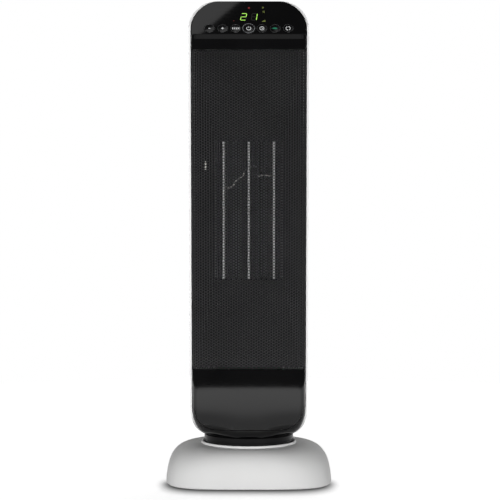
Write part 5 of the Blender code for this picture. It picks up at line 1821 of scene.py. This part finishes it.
    def digit(self, centre: Flat, half: Flat, lit: str) -> tuple[list[Stroke], list[Stroke]]:
        """The lit and the dark segments of a seven-segment figure.

        Args:
            centre: Its centre on the panel.
            half: Half its width and half its height.
            lit: The letters of the lit segments.

        Returns:
            The strokes of the lit ones and of the dark ones.
        """
        x, y = half
        ends = {
            "a": ((-x, y), (x, y)), "g": ((-x, 0.0), (x, 0.0)), "d": ((-x, -y), (x, -y)),
            "f": ((-x, y), (-x, 0.0)), "b": ((x, y), (x, 0.0)),
            "e": ((-x, 0.0), (-x, -y)), "c": ((x, 0.0), (x, -y)),
        }
        on: list[Stroke] = []
        off: list[Stroke] = []
        for letter, (first, second) in ends.items():
            line = (Vector(second) - Vector(first)).normalized()
            along = line * self.segment * 0.5
            side = Vector((-along.y, along.x))
            start, end = Vector(first) + line * self.segment_gap, Vector(second) - line * self.segment_gap
            near, far = start + along, end - along
            corners = [start, near - side, far - side, end, far + side, near + side]
            outline = [(centre[0] + p.x + self.slant * p.y, centre[1] + p.y) for p in corners]
            (on if letter in lit else off).append(filled(outline))
        return on, off

    def build_display(self) -> None:
        """Build the figures and the small lamps."""
        on: list[Stroke] = []
        off: list[Stroke] = []
        for x, lit in ((-0.0068, "abged"), (0.0072, "bc")):
            lit_strokes, dark_strokes = self.digit((x, 0.0293), (0.0034, 0.0056), lit)
            on += lit_strokes
            off += dark_strokes
        degree = ribbon(ring((0.0185, 0.0452), (0.0009, 0.0011), 14), 0.0004, closed=True)
        waves = [self.wave((x, 0.0362), (0.0003, 0.0036), 1.1, 8, 0.00045) for x in (0.0188, 0.0204)]
        rises = (0.0, 0.0004, 0.0008)
        steps = [self.bar((0.0180 + 4 * up, 0.0215 + up), (0.0005, 0.0006 + up)) for up in rises]
        lamps = (
            ("display_figures", on, self.ink, DIGIT_GREEN),
            # The unlit segments, with a faint painted glow
            ("display_dark_bars", off, self.ink / 2, GHOST),
            ("lamp_heat", [self.bar((0.0001, 0.0445), (0.0012, 0.0014))], self.ink, LAMP_RED),
            ("lamp_eco", [filled(ring((-0.0197, 0.0226), (0.0007, 0.0007), 14))], self.ink, LAMP_DIM),
            ("lamps_green", [degree, *waves, *steps], self.ink, LAMP_GREEN),
        )
        for name, strokes, thickness, finish in lamps:
            self.dress(emboss(name, strokes, SHAPE.panel_plane(), thickness), finish, Slot.DISPLAY)

    @staticmethod
    def bar(centre: Flat, half: Flat) -> Stroke:
        """A small bar with round corners."""
        return filled(rounded_rectangle(half, min(half) * 0.6, centre, 3))


@dataclass
class HeatingElement(SubAssembly):
    """The ceramic element behind the grille: tubes, folded fins, fuse and sensor."""

    pitch: float = 0.0328
    tube_half: float = 0.002
    front_y: float = -0.0499
    rear_y: float = -0.0359
    low: float = 0.2734
    high: float = 0.4558
    reach: float = 0.0092
    plate: float = 0.0007
    folds: int = 86
    foil: float = 0.00016
    bend: float = 0.06
    window_half: float = 0.0455
    wire_radius: float = 0.0007
    sleeve_radius: float = 0.00088
    case_radius: float = 0.0009

    def build(self) -> None:
        """Build and dress the element."""
        left, right = -self.pitch - self.tube_half, -self.pitch + self.tube_half
        tube = block("heater_tubes", (left, self.front_y, self.low), (right, self.rear_y, self.high))
        round_edges(tube, 0.0009)
        tubes = repeat(tube, (3, (self.pitch, 0.0, 0.0)))
        # Painted sheen: light matt grey in place of the aluminium's shine
        self.dress(tubes, TUBE_PAINTED_SHEEN, Slot.ALUMINIUM, "ptc_tube_1", "ptc_tube_2", "ptc_tube_3")
        self.build_fins()
        self.build_baffle()
        self.build_fuse()
        self.build_sensor()

    def build_fins(self) -> None:
        """Build the plates that close the fins beside each tube, and then the folded foil."""
        packs = []
        for side, word in ((-1, "left"), (1, "right")):
            inner = side * (self.tube_half + SHAPE.fit) - self.pitch
            far = inner + side * self.reach
            outer = far - side * self.plate
            low, high = sorted((far, outer))
            plate = block(f"fin_plates_{word}", (low, self.front_y, self.low), (high, self.rear_y, self.high))
            round_edges(plate, 0.0002)
            nodes = [f"fin_pack_{number}_{word}" for number in (1, 2, 3)]
            self.dress(repeat(plate, (3, (self.pitch, 0.0, 0.0))), ALUMINIUM, Slot.ALUMINIUM, *nodes)
            packs.append((word, inner, outer, nodes))

        rise = (self.high - self.low) / self.folds
        depths = (self.front_y, self.rear_y)
        for word, inner, outer, nodes in packs:
            turn = (outer - inner) * self.bend
            line = [
                (inner, 0.0), (inner + turn, 0.12), (outer - turn, 0.42), (outer, 0.5),
                (outer - turn, 0.58), (inner + turn, 0.88), (inner, 1.0),
            ]
            points = [(x, y, self.low + share * rise) for y in depths for x, share in line]
            count = len(line)
            faces = [(i, i + 1, count + i + 1, count + i) for i in range(count - 1)]
            fold = mesh_piece(f"folded_fins_{word}", points, faces)
            thicken(fold, self.foil, 0.0)
            fins = repeat(fold, (self.folds, (0.0, 0.0, rise)), (3, (self.pitch, 0.0, 0.0)))
            self.dress(fins, FIN_METAL, Slot.ALUMINIUM, *nodes)

    def build_baffle(self) -> None:
        """Build the black plate with the soft-cornered window."""
        low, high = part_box("air_baffle")
        bottom, top = SHAPE.window_bottom, SHAPE.window_top
        half = ((high.x - low.x) / 2, (high.z - low.z) / 2)
        outline = rounded_rectangle(half, 0.001, (0.0, (low.z + high.z) / 2), 3)
        window = rounded_rectangle((self.window_half, (top - bottom) / 2), 0.0045, (0.0, (bottom + top) / 2))
        baffle = sheet("baffle_smooth", [outline, window], 0.0, high.y - low.y, facing_front(high.y), 0.0003)
        self.dress(baffle, INNER_BLACK, Slot.INNER, "air_baffle")

    def build_fuse(self) -> None:
        """Build the fuse wire with its sleeves and its case."""
        shares = (
            (-0.34, 0.67), (-0.29, 0.66), (-0.14, 0.735), (-0.09, 0.745), (-0.06, 0.78),
            (0.0, 0.815), (0.12, 0.815), (0.145, 0.745), (0.22, 0.755), (0.30, 0.75), (0.40, 0.745),
        )
        height = SHAPE.window_top - SHAPE.window_bottom
        line = [(x * 2 * self.window_half, SHAPE.window_bottom + z * height) for x, z in shares]
        self.dress(self.wire("fuse_wire", line, self.wire_radius), STEEL, Slot.STEEL, "thermal_fuse")
        for name, part in (("fuse_sleeve_left", line[:5]), ("fuse_sleeve_right", line[7:])):
            self.dress(self.wire(name, part, self.sleeve_radius), SLEEVE, Slot.STEEL)
        (start, level), (end, _) = line[5:7]
        case = self.wire("fuse_case", [(start + 0.001, level), (end - 0.001, level)], self.case_radius)
        self.dress(case, ALUMINIUM, Slot.STEEL)

    def build_sensor(self) -> None:
        """Build the small pale room sensor."""
        low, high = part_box("ambient_sensor")
        centre = (low + high) / 2
        radius = (high.x - low.x) / 2
        profile = [
            (0.0, high.z), (radius * 0.5, high.z - 0.0001), (radius * 0.9, high.z - 0.0006),
            (radius, high.z - 0.0014), (radius, low.z + 0.0030), (radius * 0.86, low.z + 0.0026),
            (radius * 0.86, low.z), (0.0, low.z),
        ]
        sensor = lathe("room_sensor", profile, 24, (centre.x, centre.y, 0.0))
        self.dress(sensor, CERAMIC, Slot.SENSOR, "ambient_sensor")

    def wire(self, name: str, line: Sequence[Flat], radius: float) -> Object:
        """A round wire along points in X and Z in front of the fins.

        Args:
            name: Its name.
            line: The points.
            radius: The wire's radius.

        Returns:
            The baked object.
        """
        low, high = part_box("thermal_fuse")
        y = (low.y + high.y) / 2
        curve = bpy.data.curves.new(name, "CURVE")
        curve.dimensions = "3D"
        curve.resolution_u = 6
        spline = curve.splines.new("BEZIER")
        spline.bezier_points.add(len(line) - 1)
        for point, (x, z) in zip(spline.bezier_points, line):
            point.co = (x, y, z)
            point.handle_left_type = point.handle_right_type = "AUTO"
        return bake(SWEEP.run(show(name, curve), {"Radius": radius, "Sides": 12}))


@dataclass
class Blower(SubAssembly):
    """The cross-flow impeller behind the element."""

    body: Body = Body.FAN
    axis_y: float = 0.012
    radius: float = 0.031
    low: float = 0.2718
    high: float = 0.4574
    blades: int = 28
    blade: float = 0.0007
    chord: float = 0.0065
    lead: float = math.radians(14)
    edge: float = 0.0005
    bore: float = 0.0034
    discs: int = 5
    disc: float = 0.002

    def build(self) -> None:
        """Build and dress the impeller."""
        outer = self.radius - self.edge
        line = []
        for share, lead in ((0.0, 0.0), (0.3, 0.42), (0.6, 0.74), (1.0, 1.0)):
            reach, angle = outer - self.chord * share, self.lead * lead
            line.append((reach * math.cos(angle), reach * math.sin(angle)))
        points, flat_faces = ribbon(line, self.blade)
        ends = (self.low + self.disc / 2, self.high - self.disc / 2)
        count = len(points)
        rim = [0, *range(1, count, 2), *range(count - 2, 0, -2)]
        faces = [face[::-1] for face in flat_faces]
        faces += [tuple(count + i for i in face) for face in flat_faces]
        faces += [(a, b, count + b, count + a) for a, b in zip(rim, rim[1:] + rim[:1])]
        blade = mesh_piece("impeller_blades", [(x, y, z) for z in ends for x, y in points], faces)
        settle(blade.data, outwards=True)
        blades = bake(AROUND.run(blade, {"Count": self.blades}))
        blades = moved(blades, Matrix.Translation((0.0, self.axis_y, 0.0)))
        self.dress(blades, STEEL, Slot.ALUMINIUM, "fan_impeller")
        profile = [
            (self.bore, self.disc), (self.radius - 0.0003, self.disc), (self.radius, self.disc - 0.0003),
            (self.radius, 0.0003), (self.radius - 0.0003, 0.0), (self.bore, 0.0),
        ]
        disc = lathe("impeller_discs", profile, 72, (0.0, self.axis_y, self.low))
        step = (self.high - self.low - self.disc) / (self.discs - 1)
        self.dress(repeat(disc, (self.discs, (0.0, 0.0, step))), STEEL, Slot.ALUMINIUM, "fan_impeller")


# Stage, light and camera
@dataclass(frozen=True)
class Lamp:
    """A soft rectangular lamp, which reflections and matt surfaces see or don't."""

    name: str
    place: Place
    target: Place
    size: Flat
    power: float
    glossy: bool = True
    diffuse: bool = True
    turn: float | None = None

    def build(self) -> None:
        """Build the lamp, turned to its target or, over the object, about the vertical."""
        light = bpy.data.lights.new(self.name, "AREA")
        light.shape = "RECTANGLE"
        light.size, light.size_y = self.size
        light.energy = self.power
        lamp = show(self.name, light)
        lamp.location = self.place
        if self.turn is None:
            ahead = Vector(self.target) - Vector(self.place)
            lamp.rotation_euler = ahead.to_track_quat("-Z", "Y").to_euler()
        else:
            lamp.rotation_euler = (0.0, 0.0, self.turn)
        lamp.visible_glossy = self.glossy
        lamp.visible_diffuse = self.diffuse


LEDGE: Place = (0.0, -0.06, 0.59)
LAMPS = (
    Lamp("key_left", (-2.3, -1.5, 0.2), (0.0, 0.0, 0.2), (1.2, 1.0), 45.0, glossy=False),
    Lamp("key_right", (2.4, -1.5, 0.2), (0.0, 0.0, 0.2), (1.0, 1.0), 34.0, glossy=False),
    Lamp("key_front", (0.0, -3.4, 0.15), (0.0, 0.0, 0.25), (0.5, 0.4), 60.0, glossy=False),
    Lamp("back", (0.7, 1.2, 1.6), (0.0, 0.0, 0.4), (1.2, 0.8), 1.5),
    Lamp("back_fill", (0.6, 3.2, 0.5), (0.0, 0.0, 0.3), (1.6, 1.0), 45.0, glossy=False),
    Lamp("ledge", (0.0, -2.0, 2.86), LEDGE, (3.6, 0.7), 2.4, diffuse=False),
    Lamp("ledge_left", (-2.33, -0.38, 2.46), LEDGE, (3.3, 0.7), 2.2, diffuse=False),
    Lamp("ledge_right", (2.33, -0.38, 2.46), LEDGE, (3.3, 0.7), 2.2, diffuse=False),
    Lamp("panel_left", (-0.302, 0.021, 1.9), ORIGIN, (1.2, 0.8), 2.4, diffuse=False, turn=math.radians(40.5)),
)


@dataclass
class Studio:
    """A white floor under soft light, seen as in the photograph."""

    floor_radius: float = 1.13
    paper: float = 0.6
    # The painted contact shadow before the base, which the camera alone sees
    shadow: float = 0.02
    shadow_depth: float = 0.96
    shadow_shift: float = 0.0010
    shadow_reach: Flat = (0.1133, 0.1265)
    shadow_power: float = 4.0
    shadow_end: Flat = (-0.055, 0.005)
    blur_beside: float = 0.095
    blur_ahead: float = 0.198
    # The floor's glow to the camera, weaker near the object: painted shade
    near_glow: float = 0.78
    glow_span: Flat = (0.2, 0.9)
    # The floor's painted reflection: its glow to glossy rays, by distance and turned down to the sides
    reflection: Flat = (0.38, 1.1)
    reflection_span: Flat = (0.3, 1.2)
    side_reflection: float = 0.55
    lens: float = 188.47
    sensor: float = 36.0
    view_end: float = 50.0
    distance: float = 3.5
    height: float = 0.554
    across: float = 0.0016
    pitch: float = math.radians(4.01)
    ambient: float = 0.20
    dim: float = 0.03

    def build(self) -> None:
        """Build the floor, the lamps, the world and the camera."""
        self.build_floor()
        for lamp in LAMPS:
            lamp.build()
        self.build_world()
        camera = bpy.data.cameras.new("camera")
        camera.lens = self.lens
        camera.sensor_width = self.sensor
        camera.clip_end = self.view_end
        eye = show("camera", camera)
        eye.location = (self.across, -self.distance, self.height)
        eye.rotation_euler = (math.pi / 2 - self.pitch, 0.0, 0.0)
        scene = bpy.context.scene
        scene.camera = eye
        scene.view_settings.view_transform = "Standard"

    def build_floor(self) -> None:
        """Build the round white floor, which ends where its mirror image on the front does."""
        rim, faces = filled(ring((0.0, 0.0), (self.floor_radius, self.floor_radius), 96))
        floor = mesh_piece("floor", [(x, y, 0.0) for x, y in rim], faces)
        floor.data.materials.append(self.floor_material())
        floor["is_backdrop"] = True

    def floor_material(self) -> Material:
        """White paper that stays white to the camera, but for a painted contact shadow before the base's
        front; to glossy rays it glows as a painted reflection.

        Returns:
            The material.
        """
        graph = ShaderGraph("floor_white")
        # Painted contact shadow: a soft dark band round the front half of the base's footprint, for camera
        # rays only
        y = graph.part(graph.place, "Y")
        beside = graph.math("ABSOLUTE", graph.math("ADD", graph.part(graph.place, "X"), self.shadow_shift))
        wide, deep = (
            graph.math("POWER", graph.math("DIVIDE", way, reach), self.shadow_power)
            for way, reach in zip((beside, graph.math("ABSOLUTE", y)), self.shadow_reach)
        )
        total = graph.math("ADD", wide, deep)
        share = graph.math("DIVIDE", deep, total)
        blur = graph.math("ADD", graph.math("MULTIPLY", share, self.blur_ahead), self.blur_beside)
        edge = graph.math("POWER", total, 1.0 / self.shadow_power)
        past = graph.math("DIVIDE", graph.math("ADD", graph.math("SUBTRACT", edge, 1.0), blur), blur)
        near = graph.remap(past, 0.0, 2.0, self.shadow_depth, 0.0, smooth=True)
        dark = graph.math("MULTIPLY", near, graph.remap(y, *self.shadow_end, 1.0, 0.0, smooth=True))

        # Painted shade: the glow that keeps the floor white to the camera is weaker near the object
        away = graph.add("ShaderNodeVectorMath", {0: graph.place}, operation="LENGTH").outputs["Value"]
        lit = graph.remap(away, *self.glow_span, self.near_glow, 1.0, smooth=True)
        shown = graph.math("MULTIPLY", graph.math("SUBTRACT", 1.0, dark), lit)
        # Painted reflection: to glossy rays the floor glows, brighter further away and dimmer to the sides,
        # which lays a graded reflection into the glossy front
        mirrored = graph.remap(away, *self.reflection_span, *self.reflection, smooth=True)
        turned_away = graph.math("DIVIDE", beside, graph.math("ADD", away, 0.001))
        aside = graph.remap(turned_away, 0.5, 1.0, 1.0, self.side_reflection, smooth=True)
        mirrored = graph.math("MULTIPLY", mirrored, aside)
        rays = graph.add("ShaderNodeLightPath")
        seen, glossy = rays.outputs["Is Camera Ray"], rays.outputs["Is Glossy Ray"]
        shares = (graph.math("MULTIPLY", seen, shown), graph.math("MULTIPLY", glossy, mirrored))
        colours = (shade(WHITE, self.paper), shade(WHITE, self.shadow))
        values = {
            "Base Color": graph.blend(graph.math("MULTIPLY", seen, dark), *colours),
            "Roughness": graph.span(graph.noise(3.0), 0.85, 0.95), "Specular IOR Level": 0.0,
            "Emission Color": shade(WHITE), "Emission Strength": graph.math("ADD", *shares),
        }
        graph.feed(graph.surface, values)
        return graph.material

    def build_world(self) -> None:
        """Build a world that lights softly, looks dim in mirrors and white to the camera."""
        world = bpy.data.worlds.new("studio")
        world.use_nodes = True
        graph = NodeGraph(world.node_tree)
        rays = graph.add("ShaderNodeLightPath")
        strength: Any = self.ambient
        for ray, value in (("Is Glossy Ray", self.dim), ("Is Camera Ray", 1.0)):
            values = {"Value": rays.outputs[ray], "To Min": strength, "To Max": value}
            strength = graph.made("ShaderNodeMapRange", values)
        graph.feed(graph.tree.nodes["Background"], {"Color": shade(WHITE), "Strength": strength})
        world.cycles.sampling_method = "NONE"
        bpy.context.scene.world = world


def dress_nodes() -> None:
    """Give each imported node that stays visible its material."""
    for finish, names in NODE_FINISHES.items():
        material = finish.material(f"{names[0]}_finish")
        for name in names:
            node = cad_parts[name]
            if not node.material_slots:
                node.data.materials.append(material)
            for slot in node.material_slots:
                slot.material = material
            LOG.info("%s: packed node", name)


def corners() -> list[list[float]]:
    """The shown object's lowest and highest corners as plain lists."""
    return [list(corner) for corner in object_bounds()]


def main() -> None:
    """Build the studio and every sub-assembly in order, and dress the imported nodes."""
    logging.basicConfig(level=logging.INFO, format="%(name)s %(message)s")
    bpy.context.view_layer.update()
    Studio().build()
    kinds = (Base, Neck, RearHousing, DustFilter, FrontShell, Grille, ControlPanel, HeatingElement, Blower)
    for kind in kinds:
        kind().build()
        LOG.info("%s is built", kind.__name__)
    dress_nodes()


if __name__ == "__main__":
    main()
